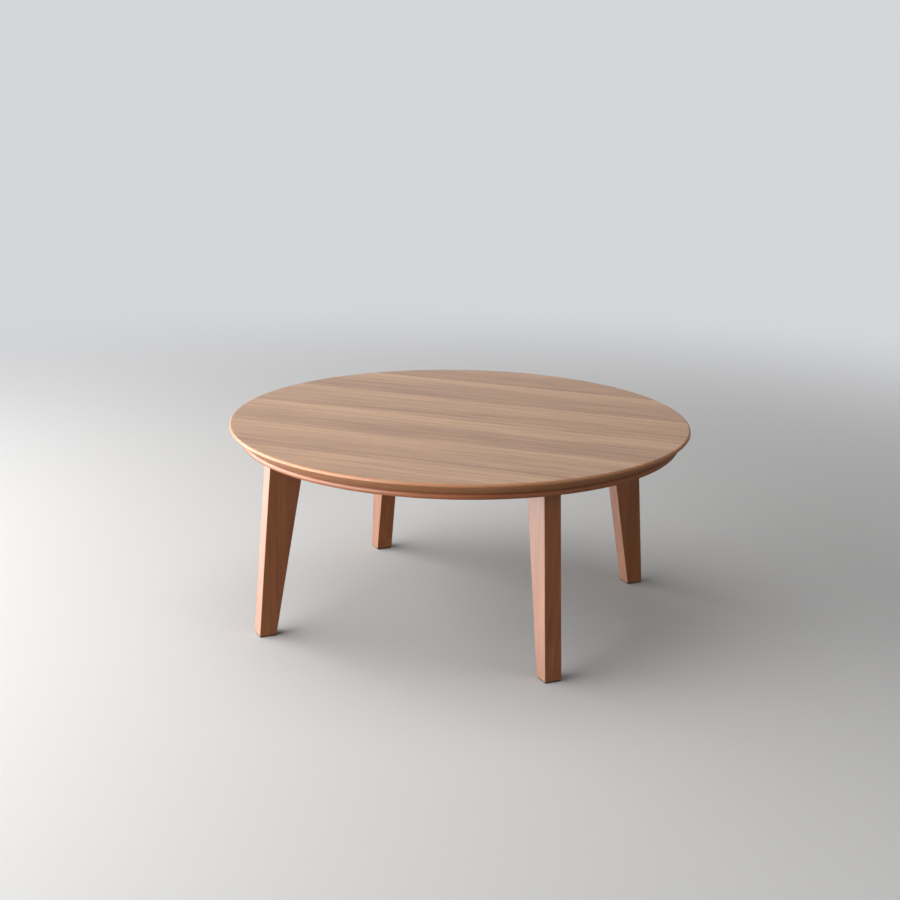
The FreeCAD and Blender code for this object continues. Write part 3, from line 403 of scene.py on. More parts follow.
def put(tree, socket, value):
    """Links a socket to an output or gives it a value."""
    if isinstance(value, bpy.types.NodeSocket):
        tree.links.new(value, socket)
    elif socket.type == "RGBA" and len(value) == 3:
        socket.default_value = (*value, 1.0)
    else:
        socket.default_value = value


def put_all(tree, node, values):
    for key, value in values.items():
        put(tree, node.inputs[key], value)


def add_node(tree, kind, values=None, **settings):
    """Adds a shader node, sets its options, and sets or links its inputs."""
    made = tree.nodes.new(f"ShaderNode{kind}")
    for name, value in settings.items():
        setattr(made, name, value)
    put_all(tree, made, values or {})
    return made


def maths(tree, operation, first, second=0.0, clamp=False):
    return add_node(tree, "Math", {0: first, 1: second}, operation=operation,
                    use_clamp=clamp).outputs[0]


def vector_maths(tree, operation, first, second=(0.0, 0.0, 0.0)):
    made = add_node(tree, "VectorMath", {0: first, 1: second}, operation=operation)
    return made.outputs["Value" if operation in ("LENGTH", "DOT_PRODUCT") else "Vector"]


def swing(tree, value, size):
    """A value from 0 to 1 as a swing to both sides of zero."""
    return maths(tree, "MULTIPLY", maths(tree, "SUBTRACT", value, 0.5), size)


def noise(tree, place, along_grain, across_grain, detail=2.0, roughness=0.5):
    """Noise with that many features to the metre along X and across it."""
    stretched = vector_maths(tree, "MULTIPLY", place, (along_grain, across_grain, across_grain))
    return add_node(tree, "TexNoise", {
        "Vector": stretched, "Scale": 1.0, "Detail": detail, "Roughness": roughness}).outputs


def fade(tree, value, low, high, start=0.0, end=1.0, **settings):
    """Maps a value from one range to another and stops at its ends."""
    return add_node(tree, "MapRange", {
        "Value": value, "From Min": low, "From Max": high, "To Min": start, "To Max": end},
        **settings).outputs[0]


def mix(tree, factor, first, second):
    return add_node(tree, "Mix", {0: factor, 6: first, 7: second}, data_type="RGBA").outputs[2]


def new_group(name, inputs, outputs):
    tree = bpy.data.node_groups.new(name, "ShaderNodeTree")
    for way, sockets in (("INPUT", inputs), ("OUTPUT", outputs)):
        for socket, kind in sockets.items():
            tree.interface.new_socket(socket, in_out=way, socket_type=f"NodeSocket{kind}")
    return tree, tree.nodes.new("NodeGroupInput").outputs, tree.nodes.new("NodeGroupOutput").inputs


def add_group(tree, name, build, values):
    """Adds a node group, built when it is first asked for."""
    return add_node(tree, "Group", node_tree=bpy.data.node_groups.get(name) or build(name),
                    values=values).outputs


def wood_group(name):
    """Wood with its grain along X: growth rings, streaks, fibres and pores."""
    tree, given, result = new_group(
        name, {"Position": "Vector", "Pale": "Color", "Dark": "Color", "Tone": "Float", "Ring Width": "Float",
               "Streaks": "Float", "Pores": "Float"}, {"Color": "Color", "Gloss": "Float", "Height": "Float"})
    place = given["Position"]
    drift = vector_maths(tree, "SUBTRACT", noise(tree, place, 0.6, 6.0)["Color"], (0.5, 0.5, 0.5))
    bent = vector_maths(tree, "ADD", place, vector_maths(tree, "MULTIPLY", drift, (0.0, 0.022, 0.022)))
    from_heart = vector_maths(tree, "ADD", bent, (0.0, 0.31, 0.42))
    reach = vector_maths(tree, "LENGTH", vector_maths(tree, "MULTIPLY", from_heart, (0.02, 1.0, 1.0)))
    rings = add_node(tree, "TexNoise", {
        "W": maths(tree, "DIVIDE", reach, given["Ring Width"]),
        "Scale": 1.0, "Detail": 3.0, "Roughness": 0.6}, noise_dimensions="1D").outputs["Fac"]
    broad = noise(tree, bent, 0.9, 17.0, 3.0, 0.55)["Fac"]
    fine = noise(tree, bent, 5.0, 95.0, 3.0, 0.65)["Fac"]
    fibres = noise(tree, place, 24.0, 1100.0, 2.0, 0.6)["Fac"]
    pores = fade(tree, noise(tree, place, 70.0, 2300.0, 1.0)["Fac"], 0.60, 0.72)
    pores = maths(tree, "MULTIPLY", pores, fade(tree, rings, 0.35, 0.6, 0.35, 1.0))
    streaks = maths(tree, "ADD", swing(tree, broad, 1.35), swing(tree, fine, 2.3))
    depth = maths(tree, "MULTIPLY", streaks, given["Streaks"])
    for part in (swing(tree, rings, 0.9), swing(tree, fibres, 0.45), given["Tone"]):
        depth = maths(tree, "ADD", depth, part)
    wood = mix(tree, maths(tree, "ADD", depth, 0.5, clamp=True), given["Pale"], given["Dark"])
    marked = maths(tree, "MULTIPLY", pores, given["Pores"])
    put(tree, result["Color"], mix(tree, marked, wood, mix(tree, 0.62, wood, (0.03, 0.014, 0.007))))
    put(tree, result["Gloss"], maths(tree, "SUBTRACT", fade(tree, fibres, 0.25, 0.75), marked, clamp=True))
    put(tree, result["Height"], maths(tree, "SUBTRACT", maths(tree, "MULTIPLY", fibres, 0.35), marked))
    return tree


def speckle_group(name):
    """A fine even texture, as on moulded plastic, rubber, paint and felt."""
    tree, given, result = new_group(name, {"Position": "Vector", "Grain Size": "Float"},
                                    {"Grain": "Float", "Cloud": "Float"})
    place = given["Position"]
    scale = maths(tree, "DIVIDE", 1.0, given["Grain Size"])
    grain = add_node(tree, "TexNoise", {"Vector": place, "Scale": scale, "Detail": 3.0}).outputs
    cloud = noise(tree, place, 38.0, 38.0, 4.0, 0.6)
    put(tree, result["Grain"], fade(tree, grain["Fac"], 0.3, 0.7))
    put(tree, result["Cloud"], fade(tree, cloud["Fac"], 0.3, 0.7))
    return tree


def rolled_group(name):
    """Fine lines along X with cloudy patches, as on rolled or drawn metal."""
    tree, given, result = new_group(name, {"Position": "Vector"}, {"Lines": "Float", "Patches": "Float"})
    lines = noise(tree, given["Position"], 30.0, 2400.0, 3.0, 0.7)
    cells = add_node(tree, "TexVoronoi", {"Vector": given["Position"], "Scale": 150.0}).outputs
    put(tree, result["Lines"], fade(tree, lines["Fac"], 0.3, 0.7))
    put(tree, result["Patches"], add_node(tree, "SeparateColor", {0: cells["Color"]}).outputs[0])
    return tree


def new_material(name):
    """An empty material with its main shader."""
    material = bpy.data.materials.new(name)
    material.use_nodes = True
    tree = material.node_tree
    tree.nodes.clear()
    shader = add_node(tree, "BsdfPrincipled")
    tree.links.new(shader.outputs[0], add_node(tree, "OutputMaterial").inputs["Surface"])
    return material, tree, shader


def object_place(tree):
    return add_node(tree, "TexCoord").outputs["Object"]


def surface(tree, shader, body, gloss, rough, height, depth):
    """Links a colour, a roughness between two ends and a fine relief to a shader."""
    relief = add_node(tree, "Bump", {"Height": height, "Distance": depth, "Strength": 1.0})
    put_all(tree, shader, {"Base Color": body, "Roughness": fade(tree, gloss, 0.0, 1.0, *rough),
                           "Normal": relief.outputs[0]})


def wood_shader(tree, shader, place, pale, dark, ring=0.004, streaks=0.6, pores=0.6, tone=0.0,
                rough=(0.46, 0.34), depth=0.0001, lacquer=0.0, lacquer_rough=0.3, lacquer_ior=1.5):
    """Links the wood grain to a shader, under a lacquer."""
    grain = add_group(tree, "Wood grain", wood_group, {
        "Position": place, "Pale": pale, "Dark": dark, "Tone": tone, "Ring Width": ring, "Streaks": streaks,
        "Pores": pores})
    surface(tree, shader, grain["Color"], grain["Gloss"], rough, grain["Height"], depth)
    put_all(tree, shader, {"Coat Weight": lacquer, "Coat Roughness": lacquer_rough, "Coat IOR": lacquer_ior})


def wood_material(name, pale, dark, **values):
    """Wood whose grain follows the piece's own wood coordinates."""
    material, tree, shader = new_material(name)
    place = add_node(tree, "Attribute", attribute_name="grain").outputs["Vector"]
    wood_shader(tree, shader, place, pale, dark, **values)
    return material


def add_speckle(tree, grain):
    return add_group(tree, "Fine speckle", speckle_group,
                     {"Position": object_place(tree), "Grain Size": grain})


def speckled_material(name, shade, grain=0.0006, lift=1.35, rough=(0.62, 0.5), depth=0.00008, sheen=0.0):
    """Plastic, rubber, paint, paper or felt: a cloudy colour with a fine raised texture."""
    material, tree, shader = new_material(name)
    speckle = add_speckle(tree, grain)
    body = mix(tree, speckle["Grain"], shade, [min(1.0, part * lift) for part in shade])
    cloud = maths(tree, "MULTIPLY", speckle["Cloud"], 0.35)
    body = mix(tree, cloud, body, [part * 0.8 for part in shade])
    surface(tree, shader, body, speckle["Cloud"], rough, speckle["Grain"], depth)
    put(tree, shader.inputs["Sheen Weight"], sheen)
    return material


def metal_material(name, shade, rough=(0.42, 0.26), patchy=0.12):
    """Rolled or plated metal with fine lines and faint patches."""
    material, tree, shader = new_material(name)
    rolled = add_group(tree, "Rolled metal", rolled_group, {"Position": object_place(tree)})
    patches = maths(tree, "MULTIPLY", rolled["Patches"], patchy)
    body = mix(tree, patches, shade, [part * 0.45 for part in shade])
    surface(tree, shader, body, rolled["Lines"], rough, rolled["Lines"], 0.00002)
    put(tree, shader.inputs["Metallic"], 1.0)
    return material


def veneer_material(top):
    """Leaves of straight-grained walnut laid side by side under a satin lacquer."""
    material, tree, shader = new_material("Walnut veneer")
    place = add_node(tree, "SeparateXYZ", {0: object_place(tree)}).outputs
    count = maths(tree, "DIVIDE", maths(tree, "SUBTRACT", place["Y"], top.leaf_seam), top.leaf_width)
    leaf = maths(tree, "FLOOR", count)
    share = maths(tree, "SUBTRACT", count, leaf)
    chance = add_node(tree, "TexWhiteNoise", {"W": leaf}, noise_dimensions="1D").outputs["Value"]
    shift = maths(tree, "MULTIPLY", leaf, 0.41)
    within = add_node(tree, "CombineXYZ", {
        "X": maths(tree, "ADD", place["X"], shift),
        "Y": maths(tree, "MULTIPLY", share, top.leaf_width),
        "Z": maths(tree, "MULTIPLY", chance, 0.05)}).outputs[0]
    slope = maths(tree, "MULTIPLY", maths(tree, "SUBTRACT", 0.5, share),
                  fade(tree, chance, 0.0, 1.0, 0.35, 0.85))
    seam = maths(tree, "MULTIPLY", fade(tree, share, 0.95, 0.985), fade(tree, chance, 0.2, 0.8, 0.0, -0.4))
    wood_shader(tree, shader, within, top.veneer_pale, top.veneer_dark, ring=0.0075, streaks=0.75, pores=0.55,
                tone=maths(tree, "ADD", slope, seam), rough=(0.44, 0.33), depth=0.00005, lacquer=0.2)
    return material


# Pieces

class KOTATSU_OT_top_face(bpy.types.Operator):
    """Lay the veneered face of the top"""
    bl_idname = "kotatsu.top_face"
    bl_label = "Top face"

    def execute(self, context):
        top = context.scene.kotatsu_top
        bm, verts = chain([(0, top.lip_low), (top.radius, top.lip_low), (top.radius, top.height),
                           (0, top.height)], closed=False)
        round_corners(bm, [verts[2]], top.lip_round, LIP_STEPS)
        spin(bm, ROUND_STEPS)
        saw(bm, (0, 0, top.veneer_low), (0, 0, -1))
        make_piece(bm, "veneer_face", veneer_material(top), "top_veneer", "walnut_veneer", "tabletop")
        return {"FINISHED"}


class KOTATSU_OT_top_edge(bpy.types.Operator):
    """Turn the solid edge of the top in four lengths, with its rounded lip and the bevel under it"""
    bl_idname = "kotatsu.top_edge"
    bl_label = "Top edge"

    def execute(self, context):
        top = context.scene.kotatsu_top
        material = wood_material("Walnut edge", top.edge_pale, top.edge_dark, lacquer=0.2, lacquer_rough=0.12,
                                 streaks=0.5, ring=0.0035, pores=0.5, rough=(0.5, 0.4))
        for count, (side, angle) in enumerate(SIDES.items()):
            bm, verts = chain([(top.edge_inner, top.edge_low), (top.bevel_radius, top.edge_low),
                               (top.radius, top.lip_low), (top.radius, top.height),
                               (top.edge_inner, top.height)], closed=True)
            round_corners(bm, [verts[3]], top.lip_round, LIP_STEPS)
            round_corners(bm, [verts[2]], top.lip_arris, 3)
            spin(bm, ROUND_STEPS // 4, FULL_TURN / 4)
            saw(bm, (0, 0, top.veneer_low), (0, 0, 1))
            turn(bm, angle + FRONT - 45)
            lay_grain(bm, around(top.radius, count * Vector((1.7, 0.13, 0.0))))
            make_piece(bm, f"solid_edge_{side}", material, f"top_edge_{side}", "walnut_edge", "tabletop")
        return {"FINISHED"}


class KOTATSU_OT_top_board(bpy.types.Operator):
    """Finish the core of the top and the sheet that backs it"""
    bl_idname = "kotatsu.top_board"
    bl_label = "Top core and backing"

    def execute(self, context):
        dress(speckled_material("Fibreboard", (0.27, 0.17, 0.09), grain=0.0012, rough=(0.9, 0.8)), "top_core")
        dress(speckled_material("Backing sheet", (0.145, 0.07, 0.035), grain=0.0009, lift=1.25,
                                rough=(0.72, 0.6), depth=0.00003), "top_backing")
        return {"FINISHED"}


class KOTATSU_OT_frame_ring(bpy.types.Operator):
    """Bend the lipping round the frame"""
    bl_idname = "kotatsu.frame_ring"
    bl_label = "Frame ring"

    def execute(self, context):
        under = context.scene.kotatsu_frame
        half = (under.board_top - under.board_low) / 2
        radius = (half ** 2 + under.ring_bulge ** 2) / (2 * under.ring_bulge)
        flat = under.ring_radius - under.ring_bulge
        bm, verts = chain([(under.board_radius, under.board_top), (under.board_radius, under.board_low),
                           (flat, under.board_low)], closed=False)
        centre = (under.ring_radius - radius, 0, under.board_low + half)
        nose = bmesh.ops.spin(bm, geom=verts[2:], cent=centre, axis=(0, -1, 0),
                              angle=2 * math.asin(half / radius), steps=10)["geom_last"]
        bm.edges.new((nose[0], verts[0]))
        spin(bm, ROUND_STEPS)
        lay_grain(bm, around(under.ring_radius, Vector((5.1, 0.4, 0.2))))
        material = wood_material("Walnut lipping", under.ring_pale, under.ring_dark, lacquer=0.25,
                                 streaks=0.5, ring=0.003, pores=0.5, rough=(0.45, 0.33))
        make_piece(bm, "frame_ring", material, "frame_lipping", "walnut_lipping")
        return {"FINISHED"}


class KOTATSU_OT_frame_boards(bpy.types.Operator):
    """Saw the four boards of the frame, mitred over the legs"""
    bl_idname = "kotatsu.frame_boards"
    bl_label = "Frame boards"

    def execute(self, context):
        under = context.scene.kotatsu_frame
        material = wood_material("Frame board", under.board_pale, under.board_dark, ring=0.006, pores=0.35,
                                 rough=(0.6, 0.48))

        def inside_rim(edge):
            return min(vert.co.xy.length for vert in edge.verts) < under.board_radius - NEAR

        for count, (side, angle) in enumerate(SIDES.items()):
            bm = disc(ROUND_STEPS, under.board_radius, under.board_low)
            extrude(bm, bm.faces[:], (0, 0, under.board_top - under.board_low))
            for point, normal in (((0, -under.rail_inner, 0), (0, 1, 0)), ((0, 0, 0), (1, 1, 0)),
                                  ((0, 0, 0), (-1, 1, 0))):
                saw(bm, point, normal)
            ease(bm, under.arris, wanted=inside_rim)
            lay_grain(bm, along("xyz", count * Vector((0.9, 0.37, 0.0))))
            turn(bm, angle)
            make_piece(bm, f"quarter_board_{side}", material, f"frame_board_{side}", "frame_plywood")
        return {"FINISHED"}


class KOTATSU_OT_rails(bpy.types.Operator):
    """Plane the rails, corner blocks and cross battens under the boards"""
    bl_idname = "kotatsu.rails"
    bl_label = "Rails, blocks and battens"

    def execute(self, context):
        under = context.scene.kotatsu_frame
        seat = context.scene.kotatsu_legs.seat
        rise = (0, 0, under.board_low - under.rail_low)
        material = wood_material("Frame timber", under.rail_pale, under.rail_dark, streaks=0.55, pores=0.2,
                                 rough=(0.62, 0.5))

        def stick(name, corners, node, angle, shift, axes="xyz"):
            bm = prism([(x, y, under.rail_low) for x, y in corners], rise)
            ease(bm, under.arris)
            lay_grain(bm, along(axes, Vector(shift)))
            turn(bm, angle)
            make_piece(bm, name, material, node, "frame_wood")

        flat, mitre = seat * math.sqrt(2) - under.rail_outer, seat / math.sqrt(2)
        inner, outer = under.rail_inner, under.rail_outer
        for count, (side, angle) in enumerate(SIDES.items()):
            stick(f"rail_{side}", [(-flat, -outer), (flat, -outer), (mitre, -mitre), (inner, -inner),
                                   (-inner, -inner), (-mitre, -mitre)],
                  f"frame_rail_{side}", angle, (count * 0.8, count * 0.21, 0.1))
        corner = inner * math.sqrt(2)
        reach = under.block_reach
        for count, (name, angle) in enumerate(CORNERS.items()):
            stick(f"block_{name}", [(corner - reach, -reach), (corner, 0), (corner - reach, reach)],
                  f"corner_block_{name}", angle, (count * 0.3, count * 0.1, 0.3), "yxz")
        for sign, name in ((-1, "front"), (1, "back")):
            low, high = sorted((sign * under.batten_inner, sign * under.batten_outer))
            stick(f"batten_{name}", [(-inner, low), (inner, low), (inner, high), (-inner, high)],
                  f"cross_batten_{name}", 0, (0.4, sign * 0.31, 0.5))
        return {"FINISHED"}


class KOTATSU_OT_bumpers(bpy.types.Operator):
    """Set the rubber bumpers that the loose top rests on"""
    bl_idname = "kotatsu.bumpers"
    bl_label = "Bumpers"

    def execute(self, context):
        under = context.scene.kotatsu_frame
        bumper = bmesh.new()
        add_rod(bumper, 40, under.bumper_radius, under.bumper_low, under.bumper_top - under.bumper_low)
        ease(bumper, under.bumper_round, 4,
             lambda edge: all(vert.co.z > under.bumper_top - NEAR for vert in edge.verts))
        outward = Matrix.Translation((under.bumper_circle, 0, 0))
        bm = add_copies(bumper, [
            turned(angle + FRONT + sign * math.degrees(under.bumper_turn)) @ outward
            for angle in SIDES.values() for sign in (-1, 1)])
        material = speckled_material("Rubber", (0.012, 0.011, 0.010), grain=0.0004, lift=1.6,
                                     rough=(0.75, 0.6))
        make_piece(bm, "rubber_bumpers", material, "top_bumpers", "bumper_rubber")
        return {"FINISHED"}


class KOTATSU_OT_legs(bpy.types.Operator):
    """Cut the four legs, wide at the frame and narrow at the foot"""
    bl_idname = "kotatsu.legs"
    bl_label = "Legs"

    def execute(self, context):
        leg = context.scene.kotatsu_legs
        under = context.scene.kotatsu_frame
        material = wood_material("Leg wood", leg.leg_pale, leg.leg_dark, lacquer=1.0, lacquer_ior=1.7,
                                 ring=0.003, streaks=0.75, pores=0.7)
        side = -leg.thickness / 2
        for count, (corner, angle) in enumerate(CORNERS.items()):
            bm = prism([(leg.foot_inner, side, leg.pad_top), (leg.foot_outer, side, leg.pad_top),
                        (leg.top_outer, side, under.board_low), (leg.seat, side, under.board_low),
                        (leg.seat, side, under.rail_low)], (0, leg.thickness, 0))
            ease(bm, leg.edge_round, 4, upright)
            ease(bm, under.arris, 2,
                 lambda edge: all(vert.co.z < leg.pad_top + NEAR for vert in edge.verts))
            lay_grain(bm, along("zxy", count * Vector((0.7, 0.23, 0.11))))
            turn(bm, angle)
            make_piece(bm, f"splayed_leg_{corner}", material, f"leg_{corner}", "leg_wood")
        return {"FINISHED"}


class KOTATSU_OT_foot_pads(bpy.types.Operator):
    """Stick felt pads under the legs"""
    bl_idname = "kotatsu.foot_pads"
    bl_label = "Foot pads"

    def execute(self, context):
        leg = context.scene.kotatsu_legs
        material = speckled_material("Felt", leg.felt, grain=0.0005, lift=1.8, rough=(0.95, 0.85),
                                     depth=0.0003, sheen=0.35)
        half = leg.thickness / 2 - leg.pad_margin
        low, high = leg.foot_inner + leg.pad_margin, leg.foot_outer - leg.pad_margin
        for corner, angle in CORNERS.items():
            bm = prism([(low, -half, 0), (high, -half, 0), (high, half, 0), (low, half, 0)],
                       (0, 0, leg.pad_top))
            ease(bm, leg.edge_round, 3, upright)
            ease(bm, leg.pad_round, 2, lambda edge: not upright(edge))
            turn(bm, angle)
            make_piece(bm, f"felt_pad_{corner}", material, f"foot_pad_{corner}", "pad_felt")
        return {"FINISHED"}


def cross_screw(head, shank, reach):
    """A countersunk screw that points up, with a cross in the lower face of its head."""
    bm = disc(28, head)
    slot, arm, recess, sink = head * 0.13, head * 0.62, head * 0.4, (head - shank) * 1.2
    for place in (slot, arm):
        for normal in ((1, 0, 0), (-1, 0, 0), (0, 1, 0), (0, -1, 0)):
            cut(bm, Vector(normal) * place, normal)
    cross = []
    for face in bm.faces:
        near, far = sorted(abs(part) for part in face.calc_center_median().xy)
        if near < slot and far < arm:
            cross.append(face)
    extrude(bm, cross, (0, 0, recess))
    bmesh.ops.delete(bm, geom=[face for face in cross if face.is_valid], context="FACES")
    rim = raise_rim(bm, [edge for edge in bm.edges if edge.is_boundary], shank / head, sink)
    raise_rim(bm, rim, 1.0, reach - sink)
    close(bm)
    return bm


class KOTATSU_OT_screws(bpy.types.Operator):
    """Drive the cross-headed screws of the boards, the bezel and the guard"""
    bl_idname = "kotatsu.screws"
    bl_label = "Screws"

    def execute(self, context):
        heater = context.scene.kotatsu_heater
        under = context.scene.kotatsu_frame
        zinc = metal_material("Zinc plate", (0.60, 0.60, 0.57), rough=(0.4, 0.22), patchy=0.25)
        black = metal_material("Black oxide", (0.035, 0.034, 0.033), rough=(0.5, 0.35), patchy=0.2)
        line = (under.rail_inner + under.rail_outer) / 2
        board = [turned(angle) @ Vector((sign * under.screw_spread, -line, 0))
                 for angle in SIDES.values() for sign in (-1, 1)]
        bezel = four_places(heater.screw_spread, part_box("heater_screws")[1].y - heater.screw_head)
        guard_line = heater.guard_half - heater.guard_flange / 2
        guard = four_places(guard_line, guard_line)
        for name, node, places, size, material, slot in (
                ("board_screw_set", "board_screws", board, 1.0, zinc, "zinc_steel"),
                ("bezel_screw_set", "heater_screws", bezel, 1.0, zinc, "zinc_steel"),
                ("guard_screw_set", "guard_screws", guard, 0.75, black, "black_screws")):
            low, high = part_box(node)
            screw = cross_screw(heater.screw_head * size, heater.screw_radius * size, high.z - low.z)
            bm = add_copies(screw, [
                Matrix.Translation((place.x, place.y, low.z)) @ Matrix.Rotation(count * SCREW_TURN, 4, "Z")
                for count, place in enumerate(places)])
            make_piece(bm, name, material, node, slot)
        return {"FINISHED"}


class KOTATSU_OT_leg_bolts(bpy.types.Operator):
    """Fit the hexagon bolts, washers and inserts that hold the legs"""
    bl_idname = "kotatsu.leg_bolts"
    bl_label = "Leg bolts"

    def execute(self, context):
        leg = context.scene.kotatsu_legs
        under = context.scene.kotatsu_frame
        face = under.rail_inner * math.sqrt(2) - under.block_reach
        middle = (under.rail_low + under.board_low) / 2
        bolt = disc(6, leg.bolt_head / math.sqrt(3))
        extrude(bolt, bolt.faces[:], (0, 0, leg.bolt_head_height))
        bmesh.ops.recalc_face_normals(bolt, faces=bolt.faces)
        ease(bolt, leg.bolt_round)
        reach = leg.washer_thickness + leg.seat + leg.insert_length - face
        add_rod(bolt, 24, leg.bolt_radius, leg.bolt_head_height, reach)
        hole = leg.bolt_radius + leg.washer_play
        washer, verts = chain([(hole, 0), (leg.washer_radius, 0), (leg.washer_radius, leg.washer_thickness),
                               (hole, leg.washer_thickness)], closed=True)
        round_corners(washer, verts[1:3], leg.washer_round, 2)
        spin(washer, 36)
        zinc = metal_material("Bolt zinc", (0.57, 0.57, 0.53), rough=(0.42, 0.25), patchy=0.3)
        start = face - leg.washer_thickness
        lying = Matrix.Rotation(math.pi / 2, 4, "Y")
        for name, part, begin, node in (
                ("hexagon_bolts", bolt, start - leg.bolt_head_height, "leg_bolts"),
                ("bolt_washers", washer, start, "leg_washers")):
            bm = add_copies(part, [
                turned(angle) @ Matrix.Translation((begin, 0, middle + side * leg.bolt_spread)) @ lying
                for angle in CORNERS.values() for side in (-1, 1)])
            make_piece(bm, name, zinc, node, "zinc_steel")
        dress(metal_material("Brass", (0.60, 0.42, 0.16), rough=(0.42, 0.28)), "leg_inserts", "motor_bush",
              "inlet_pins")
        return {"FINISHED"}


class KOTATSU_OT_heater_case(bpy.types.Operator):
    """Finish the heater's pan, bezel and inlet"""
    bl_idname = "kotatsu.heater_case"
    bl_label = "Heater case"

    def execute(self, context):
        heater = context.scene.kotatsu_heater
        dress(metal_material("Galvanised sheet", (0.55, 0.56, 0.56), rough=(0.5, 0.36), patchy=0.35),
              "heater_pan", "motor_bracket", "tube_clips")
        dress(speckled_material("Bezel plastic", heater.bezel, grain=0.0007, rough=(0.6, 0.48), depth=0.0001),
              "heater_bezel")
        dress(speckled_material("Inlet plastic", heater.bezel, grain=0.0005, lift=1.3, rough=(0.5, 0.4)),
              "cord_inlet")
        return {"FINISHED"}


class KOTATSU_OT_heater_guard(bpy.types.Operator):
    """Press the guard with its net"""
    bl_idname = "kotatsu.heater_guard"
    bl_label = "Heater guard"

    def execute(self, context):
        heater = context.scene.kotatsu_heater
        opening = heater.guard_half - heater.guard_flange
        floor = opening - heater.guard_taper
        net = floor - heater.guard_margin
        bm = bmesh.new()
        bmesh.ops.create_grid(bm, x_segments=heater.guard_gaps, y_segments=heater.guard_gaps, size=net,
                              matrix=Matrix.Translation((0, 0, heater.guard_low)))
        gaps = bm.faces[:]
        bmesh.ops.inset_individual(bm, faces=gaps, thickness=heater.guard_bar / 2, use_even_offset=True)
        rim = [edge for edge in bm.edges if edge.is_boundary]
        bmesh.ops.delete(bm, geom=gaps, context="FACES")
        rim = raise_rim(bm, rim, floor / net, 0)
        rim = raise_rim(bm, rim, opening / floor, heater.bezel_low - heater.guard_sheet - heater.guard_low)
        raise_rim(bm, rim, heater.guard_half / opening, 0)
        bmesh.ops.recalc_face_normals(bm, faces=bm.faces)
        if bm.faces[0].normal.z > 0:
            bmesh.ops.reverse_faces(bm, faces=bm.faces)
        bmesh.ops.solidify(bm, geom=bm.faces[:], thickness=heater.guard_sheet)
        material = speckled_material("Guard coating", heater.guard, lift=1.7, rough=(0.9, 0.75),
                                     depth=0.00025, sheen=0.3)
        piece = make_piece(bm, "guard_net", material, "heater_guard", "guard_paint")
        soft = piece.modifiers.new("Soft edges", "BEVEL")
        soft.width = heater.guard_round
        soft.segments = 2
        soft.limit_method = "ANGLE"
        piece.modifiers.move(1, 0)
        return {"FINISHED"}


class KOTATSU_OT_heating_parts(bpy.types.Operator):
    """Finish the reflector, the quartz tube and what holds it"""
    bl_idname = "kotatsu.heating_parts"
    bl_label = "Heating parts"

    def execute(self, context):
        dress(metal_material("Rolled aluminium", (0.80, 0.80, 0.79), rough=(0.34, 0.2), patchy=0.05),
              "reflector")
        dress(metal_material("Heating core", (0.36, 0.33, 0.30), rough=(0.6, 0.45)), "heating_core",
              "motor_shaft")
        dress(speckled_material("Ceramic", (0.70, 0.66, 0.58), grain=0.0004, lift=1.15, rough=(0.7, 0.55)),
              "tube_caps", "thermal_fuse")
        quartz, tree, shader = new_material("Milky quartz")
        speckle = add_speckle(tree, 0.0015)
        put_all(tree, shader, {
            "Base Color": mix(tree, speckle["Cloud"], (0.86, 0.85, 0.82), (0.78, 0.76, 0.72)),
            "Roughness": fade(tree, speckle["Grain"], 0.0, 1.0, 0.35, 0.5),
            "Transmission Weight": 0.55, "IOR": 1.46})
        dress(quartz, "quartz_tube")
        return {"FINISHED"}


class KOTATSU_OT_fan(bpy.types.Operator):
    """Finish the fan and its motor"""
    bl_idname = "kotatsu.fan"
    bl_label = "Fan"

    def execute(self, context):
        dress(speckled_material("Motor enamel", (0.085, 0.09, 0.095), grain=0.0008, lift=1.3,
                                rough=(0.45, 0.35)), "fan_motor", "motor_rotor")
        dress(speckled_material("Fan plastic", (0.03, 0.03, 0.031), lift=1.4, rough=(0.5, 0.4)),
              "fan_impeller")
        return {"FINISHED"}


class KOTATSU_OT_wiring(bpy.types.Operator):
    """Finish the thermostat, the terminals and the wires inside the heater"""
    bl_idname = "kotatsu.wiring"
    bl_label = "Wiring"

    def execute(self, context):
        dress(metal_material("Pressed cap", (0.62, 0.60, 0.54), rough=(0.4, 0.3)), "thermostat")
        dress(speckled_material("Terminal plastic", (0.60, 0.57, 0.49), lift=1.15, rough=(0.5, 0.42)),
              "terminal_block")
        dress(speckled_material("Silicone sleeve", (0.58, 0.55, 0.48), grain=0.0004, lift=1.15,
                                rough=(0.55, 0.45)), "heater_leads")
        return {"FINISHED"}


